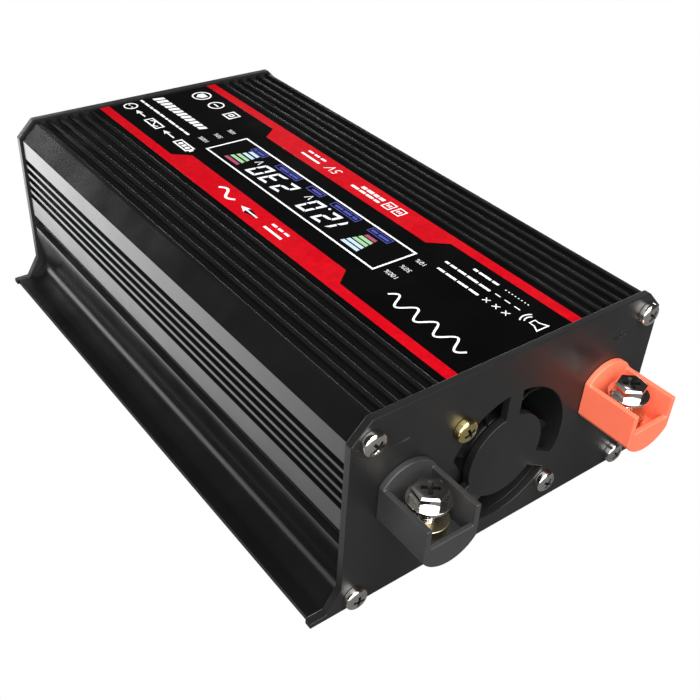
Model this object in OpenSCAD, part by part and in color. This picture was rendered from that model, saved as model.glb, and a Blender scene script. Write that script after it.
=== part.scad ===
// Box-shaped power inverter: two interlocking finned extrusions closed by two end plates.
// The direct-current end (fan and terminals) faces -Y, the mains end faces +Y, and +Z is up.
// The origin is at the middle of the whole object's footprint, on the surface it stands on.

/* [Case] */
// Width of the end plates, without the feet
case_w = 94; // [92:1:130]
// Height of the end plates
case_h = 54; // [54:1:80]
// Length of the body, over both end plates
body_l = 168; // [160:1:260]
// Thickness of an end plate
plate_t = 2; // [1.5:0.1:3]
// How far the end plates stand proud of the extrusions
plate_lip = 0.6; // [0.3:0.1:1]
// Size of the bevel along the top corners
bevel = 5; // [4:0.1:6]
// Wall of the extrusions
wall_t = 2.4; // [2.2:0.1:3]
// Wall of the lower extrusion
lower_wall_t = 2.2; // [1.8:0.1:2.6]
// Floor of the lower extrusion
floor_t = 1.8; // [1.6:0.1:3]
// Roof of the upper extrusion, from the rib tops to its inner face
roof_t = 2.8; // [2.6:0.1:4]

/* [Feet] */
// How far a foot flange reaches out of the side of the case
foot_out = 8; // [7:0.5:20]
// Thickness of the foot flanges
foot_t = 1.5; // [1.2:0.1:2]
// Height at which the end plate flares out to its foot
flare_z = 7.5; // [6.5:0.1:9]
// How far the flare reaches out of the side of the end plate
flare_x = 3.7; // [3:0.1:5]

/* [Ribs and grooves] */
// Number of ribs on each side of the label
rib_count = 6; // [4:1:6]
// Distance from rib to rib
rib_pitch = 3.5; // [3:0.1:3.6]
// Width of a rib
rib_w = 1.2; // [0.8:0.1:1.6]
// Height of a rib
rib_h = 1.2; // [0.6:0.1:1.4]
// Number of grooves along each side
groove_count = 5; // [3:1:5]
// Distance from groove to groove
groove_pitch = 2.8; // [2.4:0.1:2.9]
// Width of a side groove
groove_w = 1.7; // [1:0.1:1.8]
// Depth of a side groove
groove_d = 1; // [0.5:0.1:1.2]
// Height of the flat band above the side grooves
upper_band_h = 6; // [4:0.1:7]

/* [Seam] */
// Height of the top edge of the lower extrusion
seam_z = 22.3; // [22:0.1:24]
// Height of the recess that hides the seam
seam_h = 4.6; // [4:0.1:5]
// Depth of the recess that hides the seam
seam_d = 1.7; // [1:0.1:1.8]
// How far the lower extrusion's side stands back under its band
waist_in = 1.2; // [0.8:0.1:1.6]
// Height of the tongue that locks the two extrusions
tongue_h = 3; // [2:0.1:4]
// Thickness of the tongue
tongue_t = 0.8; // [0.6:0.1:1]
// Height of the flat band under the seam
lower_band_h = 2.9; // [2:0.1:4]

/* [Label and display] */
// Width of the flat strip between the two groups of ribs
label_w = 45.2; // [44:0.1:46]
// Thickness of the printed label
label_t = 0.3; // [0.2:0.1:0.4]
// Width of the display window
window_w = 14.4; // [12:0.1:16]
// Length of the display window
window_l = 79.4; // [60:0.1:90]
// Distance from the front of the body to the display window
window_y = 44.7; // [40:0.1:50]
// Thickness of the display module
display_t = 2.8; // [2:0.1:4]
// Thickness of the display's circuit board
display_board_t = 1.2; // [1:0.1:1.6]

/* [Fan] */
// Size of the square fan
fan_size = 40; // [40:1:41]
// Depth of the fan
fan_d = 10; // [10:1:15]
// Height of the fan's frame above the floor of the case
fan_lift = 1.7; // [1.2:0.1:4]
// How far the fan's screw holes stand in from each side of its frame
fan_hole_in = 4; // [3.6:0.1:4.4]
// Width of the frame's edge behind the rim of the grille opening
grille_in = 1.2; // [1.1:0.1:2]
// Radius of the grille's middle disc
grille_disc_r = 11.6; // [10:0.1:13]
// Width of the grille's three spokes
spoke_w = 4.3; // [3:0.1:6]
// Number of fan blades
blade_count = 7; // [5:1:9]
// Radius of the fan's shaft
fan_shaft_r = 1; // [0.8:0.1:1.4]

/* [Direct-current terminals] */
// Distance from the middle of the case to each terminal's middle
terminal_x = 31.6; // [31:0.1:33]
// Width of a terminal cup
cup_w = 14.7; // [14:0.1:16]
// How far a terminal cup stands out of the end plate
cup_d = 15.7; // [15:0.1:18]
// Height of a terminal cup's top edge
cup_top_z = 34.5; // [34:0.1:37]
// Straight height of a terminal cup's side
cup_side_h = 9; // [8:0.1:10]
// Rise of the round top and bottom edges of the cup's outline
cup_arc_rise = 4; // [3:0.1:5]
// Wall of a terminal cup
cup_wall = 1.4; // [1.2:0.1:1.8]
// Thickness of the cup's back plate
cup_back_t = 1.6; // [1.2:0.1:2]
// Height of the lowered front wall's edge
cup_front_z = 28.8; // [28.6:0.1:31]
// Height of the connection strip's upper face
strip_top_z = 28.4; // [28:0.1:28.5]
// Width of a connection strip
strip_w = 10; // [8:0.1:11]
// Thickness of a connection strip
strip_t = 3; // [2:0.1:3.4]
// Thread diameter of a terminal bolt
bolt_d = 4; // [3:0.1:4]
// Length of a terminal bolt under its head
bolt_l = 7; // [6.6:0.1:7.4]
// Width across the flats of a terminal bolt's head
bolt_flats = 7; // [6:0.1:8]
// Height of a terminal bolt's head
bolt_head_h = 2.8; // [2:0.1:4]
// Distance from the end plate to a terminal bolt's axis
bolt_y = 7.7; // [7.5:0.1:8.5]
// Outer diameter of a terminal washer
washer_d = 10; // [8:0.1:10.6]
// Thickness of a terminal washer
washer_t = 0.8; // [0.5:0.1:1]
// Height of a backed-out washer over the connection strip
washer_lift = 4.5; // [4.2:0.1:5]

/* [Mains socket] */
// Distance from the middle of the case to the socket's middle
socket_x = -20.6; // [-20.8:0.1:-20]
// Height of the socket's middle
socket_z = 27; // [26.5:0.1:28]
// Radius of the socket's recess
socket_r = 19.5; // [19:0.1:19.8]
// Depth of the socket's recess
socket_depth = 17; // [15:0.1:20]
// Wall of the socket's cup
socket_wall = 1; // [0.8:0.1:1.2]
// Thickness of the socket's floor, which guides the plug's pins
socket_floor_t = 3; // [2:0.1:4]
// Radius of the socket's outer flange
socket_flange_r = 22; // [21.5:0.1:22.5]
// Thickness of the socket's outer flange
socket_flange_t = 2; // [1.5:0.1:2.4]
// Distance between the plug's two pins
pin_pitch = 19; // [18:0.1:20]
// Radius of a pin hole
pin_hole_r = 2.6; // [2.5:0.1:3]

/* [USB ports and switch] */
// Distance from the middle of the case to the ports and the switch
side_x = 26; // [25:0.1:28]
// Height of the lower port's middle
port_z = 33.2; // [32.8:0.1:34]
// Distance between the two ports
port_pitch = 9.6; // [9:0.1:10]
// Outer width of a port's metal shell
port_w = 13.1; // [13:0.1:13.4]
// Outer height of a port's metal shell
port_h = 5.7; // [5.5:0.1:6]
// Depth of a port
port_d = 14; // [12:0.1:17]
// Thickness of a port's metal shell
port_wall = 0.3; // [0.3:0.1:0.5]
// Height of the switch's middle
switch_z = 16.4; // [16:0.1:17]
// Width of the switch's frame
switch_w = 15; // [14:0.1:16]
// Height of the switch's frame
switch_h = 21; // [20:0.1:22]
// Thickness of the switch's front flange
switch_flange_t = 1.8; // [1.5:0.1:2]
// Depth of the switch behind the end plate
switch_d = 14; // [13:0.1:18]
// Half of the rocker's full swing, in degrees
rocker_tilt = 9; // [6:0.5:11]

/* [Circuit board] */
// Height of the circuit board's lower face
board_z = 11.6; // [11:0.1:13]
// Thickness of the circuit board
board_t = 1.6; // [1.2:0.1:2]
// Distance from the front of the body to the circuit board
board_y = 16; // [15.5:0.1:18]
// Distance from the circuit board to the back of the body
board_back = 26; // [25:1:30]
// Distance from the front of the body to the first transformer
transformer_y = 60; // [58:1:62]
// Distance between the two transformers
transformer_pitch = 30; // [28:1:32]

/* [Fasteners and fits] */
// Thread diameter of the case and fan screws
screw_d = 3; // [2.5:0.1:3]
// Head diameter of the case and fan screws
screw_head_d = 5.8; // [5:0.1:6]
// Head height of the case and fan screws
screw_head_h = 2.3; // [1.8:0.1:2.6]
// Length of a case screw under its head
case_screw_l = 9; // [7:0.5:12]
// Radial gap of a screw in the hole that it passes through
screw_gap = 0.2; // [0.1:0.05:0.3]
// Radial gap of a turning shaft or thread in its hole
running_gap = 0.05; // [0.02:0.01:0.09]
// Gap around a part that sits in an opening
seat_gap = 0.15; // [0.1:0.05:0.2]
// Gap beside a part that slides into rails, a recess or a slot
slide_gap = 0.1; // [0.05:0.05:0.2]
// Gap of a moving part beside its guides
swing_gap = 0.3; // [0.25:0.05:0.4]

/* [Hidden] */

$fn = 64;
bite = 0.01;

// Case
half_w = case_w / 2;
half_foot = half_w + foot_out;
shell_half_w = half_w - plate_lip;
shell_h = case_h - plate_lip;
shell_y0 = plate_t;
shell_y1 = body_l - plate_t;
bevel_sum = half_w + case_h - bevel;
shell_bevel_sum = bevel_sum - plate_lip * sqrt(2);
inner_half_w = shell_half_w - wall_t;
roof_z = shell_h - roof_t;
inner_bevel_sum = shell_bevel_sum - wall_t * sqrt(2);

// The switch's rocker stands out furthest at the mains end
rocker_pivot_y = -1.5;
rocker_half_h = 7.8;
rocker_crest = 3;
rocker_dip = 1.3;
rocker_out = rocker_crest * cos(rocker_tilt) + rocker_half_h * sin(rocker_tilt) + rocker_pivot_y;
overall_l = cup_d + body_l + rocker_out;
front_y = cup_d - overall_l / 2;

// Screw places: a port near each corner of the case
port_wall_t = 1.1;
top_port = [half_w - bevel, case_h - bevel - 0.4];
bottom_port = [half_w - 3.6, 3.4];
corner_ports = [top_port, bottom_port];
thread_hole_r = screw_d / 2 + running_gap;
port_r = thread_hole_r + port_wall_t;
pass_hole_r = screw_d / 2 + screw_gap;

// Ribs, side grooves and seam
label_side_gap = 0.3;
rib_start = label_w / 2 + label_side_gap + rib_w / 2;
label_z = shell_h - label_t - slide_gap;
groove_top_z = shell_bevel_sum - shell_half_w - upper_band_h;
seam_gap = 2 * slide_gap;
lip_r = 1.4;
seam_recess_z = seam_z + seam_gap + lip_r - seam_h;
seam_chamfer_h = 0.8;
seam_block_w = 3.2;
seam_block_h = 1.6;
lower_half_w = shell_half_w - waist_in;
lower_inner_half_w = lower_half_w - lower_wall_t;
seam_wall = 1.2;
seam_x = shell_half_w - seam_d;
seam_block_x = seam_x - seam_block_w;
tongue_x = seam_x - seam_wall - tongue_t;
shell_foot_r = 6;

// Display
window_half_w = window_w / 2;
display_z = roof_z - slide_gap;
display_board_top = display_z - display_t;
display_board_half_w = window_half_w + 2.2;
display_over = 2;
display_rail_t = 1.2;
display_rail_w = 1.6;

// Fan
fan_z = floor_t + fan_lift + fan_size / 2;
fan_hole_pitch = fan_size - 2 * fan_hole_in;
grille_r = fan_size / 2 - grille_in;
fan_bore_r = fan_size / 2 - 1;
fan_tip_r = fan_bore_r - 2 * swing_gap;
fan_hub_r = 10;
fan_post_r = fan_shaft_r + running_gap + 1.5;
nut_flats = 5.5;
nut_h = 2.4;
fan_screw_l = plate_t + fan_d + nut_h;
fan_signs = [[-1, 1], [1, -1]];

// Terminals
cup_half_w = cup_w / 2;
cup_arc_r = (pow(cup_half_w, 2) + pow(cup_arc_rise, 2)) / (2 * cup_arc_rise);
cup_side_z = cup_top_z - cup_side_h;
strip_z = strip_top_z - strip_t;
washer_z = strip_top_z + washer_lift;
bolt_head_z = washer_z + washer_t + running_gap;
washer_hole_r = bolt_d / 2 + 2 * running_gap;
spigot_wall = 1;
spigot_l = plate_t + 2;
spigot_w = strip_w + 2 * (seat_gap + spigot_wall);
spigot_h = strip_t + 2 * (seat_gap + spigot_wall);
snap_out = 0.8;
snap_root = 0.5;
snap_w = 3;
strip_leg_y = board_y + 1;

// Switch and lights
rocker_w = 10.4;
rocker_r = 8.4;
rocker_pin_r = 1.1;
switch_body_w = switch_w - 2;
switch_body_h = switch_h - 2;
switch_blade_l = 7;
switch_blade_z = 5;
led_x = side_x + port_w / 2 + 5.2;
led_r = 1.5;

// Mains socket
socket_low = socket_flange_t - socket_depth - socket_floor_t;
socket_cup_r = socket_r + socket_wall;
contact_l = 17;
earth_clip_w = 4;
earth_clip_t = 0.8;
earth_y = socket_r - 1.4;

// Circuit board
board_l = body_l - board_y - board_back;
board_top = board_z + board_t;
board_half_w = lower_inner_half_w - 2 * slide_gap;
board_rail_h = 1.2;
board_rail_w = 1.8;
sink_t = 3;
sink_fin_out = 2.2;
sink_x = lower_inner_half_w - board_rail_w - slide_gap - sink_fin_out - sink_t;
sink_y = 50;
sink_l = 80;
sink_h = 24;
transistor_ys = [58, 76, 94, 112];
transistor_hole_z = board_top + 16.3;
core_w = 42;
core_h = 24;
core_d = 12;
core_leg = 6;
core_lift = 2;
core_window_w = core_w / 2 - 1.5 * core_leg;
fuse_x = terminal_x - 0.8;
fuse_ys = [for (i = [0:2]) board_y + 12 + 8 * i];

// Places everything from the front of the body
module from_front() {
    translate([0, front_y, 0]) children();
}

// Extrudes an outline, drawn in the X-Z plane, from y0 to y1
module along_y(y0, y1) {
    translate([0, y1, 0]) rotate([90, 0, 0]) linear_extrude(y1 - y0) children();
}

// Turns a part drawn along +Z so that it points along +Y, at a place on a plane across Y
module facing_back(x, y, z) {
    translate([x, y, z]) rotate([-90, 0, 0]) children();
}

module both_sides() {
    children();
    mirror([1, 0, 0]) children();
}

module rounded_square(w, h, r) {
    square([w - 2 * r, h], center = true);
    square([w, h - 2 * r], center = true);
    for (sx = [-1, 1], sy = [-1, 1])
        translate([sx * (w / 2 - r), sy * (h / 2 - r)]) circle(r);
}

module span(x0, z0, x1, z1) {
    translate([x0, z0]) square([x1 - x0, z1 - z0]);
}

// Case outlines

module plate_outline() {
    corner_x = bevel_sum - case_h;
    corner_z = bevel_sum - half_w;
    right = [
        [corner_x, case_h],
        [half_w, corner_z],
        [half_w, flare_z],
        [half_w + flare_x, foot_t],
        [half_foot, foot_t],
        [half_foot, 0]
    ];
    polygon(concat(right, flipped(right)));
}

// Points of an outline that runs from the middle to one side, and its mirror image
function flipped(points) = [for (i = [len(points) - 1:-1:0]) [-points[i][0], points[i][1]]];
function arc(c, r, a0, a1, n = 12) =
    [for (i = [0:n]) c + r * [cos(a0 + (a1 - a0) * i / n), sin(a0 + (a1 - a0) * i / n)]];

// The upper extrusion: an upside-down channel with ribs, grooves and rails for the display
module top_outline() {
    w = shell_half_w;
    lip_z = seam_z + seam_gap;
    block_z = seam_z + tongue_h + seam_block_h;
    slot_z = seam_z + tongue_h + 2 * seam_gap;
    slot_in = tongue_x - seam_gap;
    slot_out = tongue_x + tongue_t + seam_gap;
    label_edge = rib_start - rib_w / 2;
    rail_x = display_board_half_w + 2 * slide_gap;
    rail_in = rail_x - display_rail_w;
    rail_out = rail_x + display_rail_t;
    rail_top = display_board_top - display_board_t - slide_gap;
    rail_low = rail_top - display_rail_t;
    outer = concat(
        arc([w - lip_r, lip_z + lip_r], lip_r, -90, 0),
        [for (i = [groove_count - 1:-1:0])
            let (z = groove_top_z - i * groove_pitch)
            each [[w, z - groove_w], [w - groove_d, z - groove_w], [w - groove_d, z], [w, z]]],
        [[w, shell_bevel_sum - w], [shell_bevel_sum - shell_h, shell_h]],
        [for (i = [rib_count - 2:-1:0])
            let (x = rib_start + i * rib_pitch + rib_w / 2, far = x + rib_pitch - rib_w)
            each [[far, shell_h], [far, shell_h - rib_h], [x, shell_h - rib_h], [x, shell_h]]],
        [[label_edge, shell_h], [label_edge, label_z]]
    );
    inner = [
        [rail_x, roof_z], [rail_x, rail_top], [rail_in, rail_top], [rail_in, rail_low],
        [rail_out, rail_low], [rail_out, roof_z],
        [inner_bevel_sum - roof_z, roof_z], [inner_half_w, inner_bevel_sum - inner_half_w],
        [inner_half_w, block_z], [seam_block_x, block_z], [seam_block_x, lip_z],
        [slot_in, lip_z], [slot_in, slot_z], [slot_out, slot_z], [slot_out, lip_z]
    ];
    polygon(concat(outer, flipped(outer), flipped(inner), inner));
}

// The lower extrusion: a channel with feet, rails for the circuit board and a tongue
module bottom_outline() {
    w = shell_half_w;
    inner_w = lower_inner_half_w;
    block_z = seam_z - 3;
    foot_x = lower_half_w + shell_foot_r;
    foot_end = half_foot - plate_lip;
    rail_x = inner_w - board_rail_w;
    rail_top = board_top + slide_gap;
    rail_low = board_z - slide_gap;
    outer = concat(
        [[foot_end, 0], [foot_end, foot_t]],
        arc([foot_x, foot_t + shell_foot_r], shell_foot_r, -90, -180),
        [
            [w, seam_recess_z - lower_band_h], [w, seam_recess_z],
            [seam_x, seam_recess_z + seam_chamfer_h], [seam_x, seam_z],
            [tongue_x + tongue_t, seam_z], [tongue_x + tongue_t, seam_z + tongue_h],
            [tongue_x, seam_z + tongue_h], [tongue_x, seam_z], [seam_block_x, seam_z],
            [seam_block_x, block_z], [inner_w, block_z - inner_w + seam_block_x],
            [inner_w, rail_top + board_rail_h], [rail_x, rail_top + board_rail_h],
            [rail_x, rail_top], [inner_w, rail_top], [inner_w, rail_low], [rail_x, rail_low],
            [rail_x, rail_low - board_rail_h], [inner_w, rail_low - board_rail_h],
            [inner_w, floor_t]
        ]
    );
    polygon(concat(outer, flipped(outer)));
}

// Round ports along an extrusion, one on each side, that take the end plates' screws
module port_walls(place) {
    both_sides() along_y(shell_y0, shell_y1) translate(place) circle(port_r);
}

module port_holes(place) {
    both_sides() along_y(shell_y0 - 1, shell_y1 + 1) translate(place) circle(thread_hole_r);
}

// Case

module top_housing() {
    color("#1b1b1d") from_front() difference() {
        union() {
            along_y(shell_y0, shell_y1) top_outline();
            port_walls(top_port);
        }
        port_holes(top_port);
        translate([-window_half_w - seat_gap, window_y - seat_gap, roof_z - 1])
            cube([window_w + 2 * seat_gap, window_l + 2 * seat_gap, roof_t + 2]);
    }
}

module bottom_housing() {
    color("#1b1b1d") from_front() difference() {
        union() {
            along_y(shell_y0, shell_y1) bottom_outline();
            port_walls(bottom_port);
        }
        port_holes(bottom_port);
    }
}

// Holes for the screws in the four corners of an end plate
module corner_holes() {
    both_sides() for (p = corner_ports) translate(p) circle(pass_hole_r);
}

module fan_grille() {
    difference() {
        circle(grille_r, $fn = 96);
        circle(grille_disc_r, $fn = 96);
        for (a = [90, 210, 330])
            rotate(a) translate([0, -spoke_w / 2]) square([grille_r + 1, spoke_w]);
    }
}

module dc_end_plate() {
    mark_l = 4.2;
    mark_w = 0.7;
    mark_deep = 0.3;
    mark_z = case_h - 9.3;
    mark_x = terminal_x + 2.2;
    color("#2e2e2e") from_front() difference() {
        along_y(0, plate_t) difference() {
            plate_outline();
            corner_holes();
            translate([0, fan_z]) {
                fan_grille();
                for (s = fan_signs) translate(s * fan_hole_pitch / 2) circle(pass_hole_r);
            }
            for (s = [-1, 1]) translate([s * terminal_x, strip_z + strip_t / 2])
                square([spigot_w + 2 * seat_gap, spigot_h + 2 * seat_gap], center = true);
        }
        for (s = [-1, 1]) along_y(-1, mark_deep)
            translate([s * mark_x, mark_z]) square([mark_l, mark_w], center = true);
        along_y(-1, mark_deep) translate([mark_x, mark_z]) square([mark_w, mark_l], center = true);
    }
}

module ac_end_plate() {
    vent_w = 2;
    vent_l = 30;
    vents = [5.2, 8.7, 12.2];
    color("#2e2e2e") from_front() along_y(body_l - plate_t, body_l) difference() {
        plate_outline();
        corner_holes();
        translate([socket_x, socket_z]) circle(socket_cup_r + seat_gap, $fn = 96);
        for (i = [0, 1]) translate([side_x, port_z + i * port_pitch])
            square([port_w + 2 * seat_gap, port_h + 2 * seat_gap], center = true);
        translate([side_x, switch_z])
            square([switch_body_w + 2 * seat_gap, switch_body_h + 2 * seat_gap], center = true);
        for (i = [0, 1]) translate([led_x, port_z + i * port_pitch])
            circle(led_r + seat_gap);
        for (x = vents) translate([x, socket_z]) rounded_square(vent_w, vent_l, 0.9);
    }
}

// A pan-head screw with a cross recess, head at z < 0 and thread along +Z
module pan_screw(l, head_d = screw_head_d, head_h = screw_head_h, d = screw_d) {
    recess = head_d * 0.56;
    crown = 0.7;
    difference() {
        union() {
            translate([0, 0, -head_h + crown]) cylinder(h = head_h - crown, d = head_d);
            translate([0, 0, -head_h]) cylinder(h = crown, d1 = head_d - 2 * crown, d2 = head_d);
            translate([0, 0, -bite]) cylinder(h = l + bite, d = d);
        }
        translate([0, 0, -head_h + 0.5]) for (a = [0, 90])
            rotate(a) cube([recess, 0.75, 1.6], center = true);
    }
}

module corner_screws() {
    both_sides() for (p = corner_ports) translate([p[0], 0, p[1]]) rotate([-90, 25, 0])
        pan_screw(case_screw_l);
}

module dc_plate_screws() {
    color("silver") from_front() corner_screws();
}

module ac_plate_screws() {
    color("silver") from_front() translate([0, body_l, 0]) mirror([0, 1, 0]) corner_screws();
}

// Label and display

module top_label() {
    inner_l = shell_y1 - shell_y0 - 0.4;
    color("#101012") from_front() difference() {
        translate([-label_w / 2, shell_y0 + 0.2, label_z]) cube([label_w, inner_l, label_t]);
        translate([-window_half_w - seat_gap, window_y - seat_gap, label_z - 1])
            cube([window_w + 2 * seat_gap, window_l + 2 * seat_gap, label_t + 2]);
    }
}

module display_window() {
    color("#08080a") from_front() translate([-window_half_w, window_y, display_z])
        cube([window_w, window_l, label_z + label_t - display_z]);
}

module display_module() {
    color("#3a4a44") from_front()
        translate([-window_half_w - 1, window_y - display_over, display_board_top])
        cube([window_w + 2, window_l + 2 * display_over, display_t]);
}

module display_board() {
    color("#1f6b3a") from_front()
        translate([-display_board_half_w, window_y - 2 * display_over,
            display_board_top - display_board_t])
        cube([2 * display_board_half_w, window_l + 4 * display_over, display_board_t]);
}

// A flat cable down from the display's board to a plug on the main board
module display_ribbon() {
    ribbon_w = 10;
    ribbon_t = 0.8;
    top = display_board_top - display_board_t;
    y = transformer_y + transformer_pitch / 2;
    plug_h = 6;
    plug_d = 2.8;
    color("#8a8f96") from_front() {
        translate([-ribbon_w / 2, y - ribbon_t / 2, board_top + plug_h - bite])
            cube([ribbon_w, ribbon_t, top - board_top - plug_h + bite]);
        translate([-ribbon_w / 2 - 1, y - plug_d / 2, board_top])
            cube([ribbon_w + 2, plug_d, plug_h]);
    }
}

// Fan, drawn along +Z from the back of the end plate

module at_fan() {
    facing_back(0, plate_t, fan_z) children();
}

module fan_frame() {
    back_t = 1.6;
    color("#161616") from_front() at_fan() difference() {
        union() {
            linear_extrude(fan_d) difference() {
                rounded_square(fan_size, fan_size, 3);
                circle(fan_bore_r, $fn = 96);
            }
            translate([0, 0, fan_d - back_t]) {
                cylinder(h = back_t, r = fan_hub_r + 0.5);
                for (a = [30, 150, 270]) rotate(a) translate([0, -1.2, 0])
                    cube([fan_bore_r + 0.5, 2.4, back_t]);
            }
            translate([0, 0, 4]) cylinder(h = fan_d - 4, r = fan_post_r);
        }
        for (sx = [-1, 1], sy = [-1, 1])
            translate([sx, sy, 0] * fan_hole_pitch / 2) translate([0, 0, -1])
                cylinder(h = fan_d + 2, r = pass_hole_r);
        translate([0, 0, 3]) cylinder(h = fan_d, r = fan_shaft_r + running_gap);
    }
}

module fan_rotor() {
    hub_z = 1;
    hub_h = 6.6;
    hub_wall = 1.2;
    blade_t = 0.9;
    blade_z = hub_z + 0.4;
    blade_h = 6.2;
    color("#1e1e20") from_front() at_fan() {
        difference() {
            translate([0, 0, hub_z]) cylinder(h = hub_h, r = fan_hub_r);
            translate([0, 0, hub_z + hub_wall]) cylinder(h = hub_h, r = fan_hub_r - hub_wall);
        }
        translate([0, 0, hub_z + 0.5]) cylinder(h = fan_d - hub_z - 1.4, r = fan_shaft_r);
        intersection() {
            translate([0, 0, blade_z]) difference() {
                cylinder(h = blade_h, r = fan_tip_r, $fn = 96);
                translate([0, 0, -1]) cylinder(h = blade_h + 2, r = fan_hub_r - 0.3);
            }
            for (i = [0:blade_count - 1]) rotate(i * 360 / blade_count)
                translate([0, 0, blade_z + blade_h / 2]) rotate([38, 0, 0])
                    translate([fan_hub_r - 1, -6, -blade_t / 2])
                        cube([fan_tip_r - fan_hub_r + 3, 12, blade_t]);
        }
    }
}

module fan_stator() {
    inner_r = fan_post_r + slide_gap;
    color("#b87333") from_front() at_fan() translate([0, 0, 4.6]) difference() {
        cylinder(h = 3.6, r = fan_hub_r - 2);
        translate([0, 0, -1]) cylinder(h = 6, r = inner_r);
        for (a = [0:60:300]) rotate(a + 30) translate([inner_r + 1.4, -0.7, -1])
            cube([fan_hub_r, 1.4, 6]);
    }
}

module fan_screws() {
    color("silver") from_front() for (s = fan_signs)
        facing_back(s[0] * fan_hole_pitch / 2, 0, fan_z + s[1] * fan_hole_pitch / 2)
            rotate(20) pan_screw(fan_screw_l);
}

module fan_nuts() {
    color("silver") from_front() for (s = fan_signs)
        facing_back(s[0] * fan_hole_pitch / 2, plate_t + fan_d, fan_z + s[1] * fan_hole_pitch / 2)
            difference() {
                cylinder(h = nut_h, d = nut_flats / cos(30), $fn = 6);
                translate([0, 0, -1]) cylinder(h = nut_h + 2, r = thread_hole_r);
            }
}

// Leads: a tube of eight sides swept along points, with a ring across each corner

function unit(v) = v / norm(v);
function heading(p, i) =
    i == 0 ? unit(p[1] - p[0])
    : i == len(p) - 1 ? unit(p[i] - p[i - 1])
    : unit(unit(p[i] - p[i - 1]) + unit(p[i + 1] - p[i]));
function ring(c, t, side, r, n) = [
    for (k = [0:n - 1])
        c + r * (cos(k * 360 / n) * side + sin(k * 360 / n) * cross(t, side))
];

// side is a direction that no stretch of the lead runs along
module lead(points, d, side) {
    n = 8;
    r = d / 2;
    verts = [
        for (i = [0:len(points) - 1])
            let (t = heading(points, i), s = unit(side - (side * t) * t))
            for (v = ring(points[i], t, s, r, n)) v
    ];
    last = (len(points) - 1) * n;
    walls = [
        for (i = [0:len(points) - 2], k = [0:n - 1])
            let (a = i * n + k, b = i * n + (k + 1) % n)
            [a, a + n, b + n, b]
    ];
    ends = [[for (k = [0:n - 1]) k], [for (k = [n - 1:-1:0]) last + k]];
    polyhedron(points = verts, faces = concat(walls, ends));
}

// From the back of the fan's frame, up past the end of the board and down to its top
module fan_lead() {
    y = plate_t + fan_d;
    z = fan_z - fan_size / 2 + 1.6;
    over = board_top + 3.4;
    color("#b02020") from_front() for (x = [-13, -11])
        lead([
            [x, y, z], [x, y + 1.6, z], [x, y + 2.5, z + 0.9], [x, y + 2.5, over - 1.3],
            [x, y + 3.4, over], [x, y + 5.4, over], [x, y + 6.3, over - 0.9],
            [x, y + 6.3, board_top]
        ], 1.2, [1, 0, 0]);
}

// Direct-current terminals

module cup_outline() {
    top_c = cup_top_z + cup_arc_rise - cup_arc_r;
    low_c = cup_side_z - cup_arc_rise + cup_arc_r;
    intersection() {
        translate([0, top_c]) circle(cup_arc_r, $fn = 96);
        translate([0, low_c]) circle(cup_arc_r, $fn = 96);
        span(-cup_half_w, 0, cup_half_w, case_h);
    }
}

// An open cup with an arched back plate, a lowered front wall and a spigot through the case
module terminal_cup() {
    inner_half_w = cup_half_w - cup_wall;
    seat_z = strip_z - running_gap;
    tip_hole_r = bolt_d / 2 + swing_gap;
    middle_z = strip_z + strip_t / 2;
    difference() {
        union() {
            along_y(-cup_back_t, 0) cup_outline();
            along_y(-cup_d, -cup_back_t + bite) intersection() {
                cup_outline();
                span(-cup_half_w, 0, cup_half_w, cup_top_z);
            }
            translate([-spigot_w / 2, -bite, middle_z - spigot_h / 2])
                cube([spigot_w, spigot_l, spigot_h]);
            for (s = [-1, 1]) along_z(middle_z - snap_w / 2, middle_z + snap_w / 2) polygon([
                [s * (spigot_w / 2 - snap_root), plate_t + slide_gap],
                [s * (spigot_w / 2 + snap_out), plate_t + slide_gap],
                [s * (spigot_w / 2 - snap_root), spigot_l]
            ]);
        }
        translate([-inner_half_w, -cup_d + cup_wall, seat_z])
            cube([2 * inner_half_w, cup_d - cup_wall - cup_back_t, case_h]);
        translate([-inner_half_w, -cup_d - 1, cup_front_z])
            cube([2 * inner_half_w, cup_wall + 2, case_h]);
        translate([-strip_w / 2 - seat_gap, -cup_back_t - 1, seat_z])
            cube([strip_w + 2 * seat_gap, cup_back_t + spigot_l + 2,
                strip_t + running_gap + seat_gap]);
        translate([0, -bolt_y, 0]) cylinder(h = case_h, r = tip_hole_r);
    }
}

module along_z(z0, z1) {
    translate([0, 0, z0]) linear_extrude(z1 - z0) children();
}

module negative_cup() {
    color("#3c3c3e") from_front() translate([-terminal_x, 0, 0]) terminal_cup();
}

module positive_cup() {
    color("tomato") from_front() translate([terminal_x, 0, 0]) terminal_cup();
}

// A plated brass strip from the cup to a foot that is soldered to the main board
module terminal_strip() {
    end_y = -bolt_y;
    difference() {
        union() {
            translate([-strip_w / 2, end_y, strip_z])
                cube([strip_w, strip_leg_y + strip_t - end_y, strip_t]);
            translate([0, end_y, strip_z]) cylinder(h = strip_t, d = strip_w);
            translate([-strip_w / 2, strip_leg_y, board_top])
                cube([strip_w, strip_t, strip_z + bite - board_top]);
        }
        translate([0, -bolt_y, strip_z - 1]) cylinder(h = strip_t + 2, r = bolt_d / 2 + running_gap);
    }
}

module negative_strip() {
    color("#c9b98a") from_front() translate([-terminal_x, 0, 0]) terminal_strip();
}

module positive_strip() {
    color("#c9b98a") from_front() translate([terminal_x, 0, 0]) terminal_strip();
}

module terminal_washer() {
    translate([0, -bolt_y, washer_z]) difference() {
        cylinder(h = washer_t, d = washer_d);
        translate([0, 0, -1]) cylinder(h = washer_t + 2, r = washer_hole_r);
    }
}

module negative_washer() {
    color("silver") from_front() translate([-terminal_x, 0, 0]) terminal_washer();
}

module positive_washer() {
    color("silver") from_front() translate([terminal_x, 0, 0]) terminal_washer();
}

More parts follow.
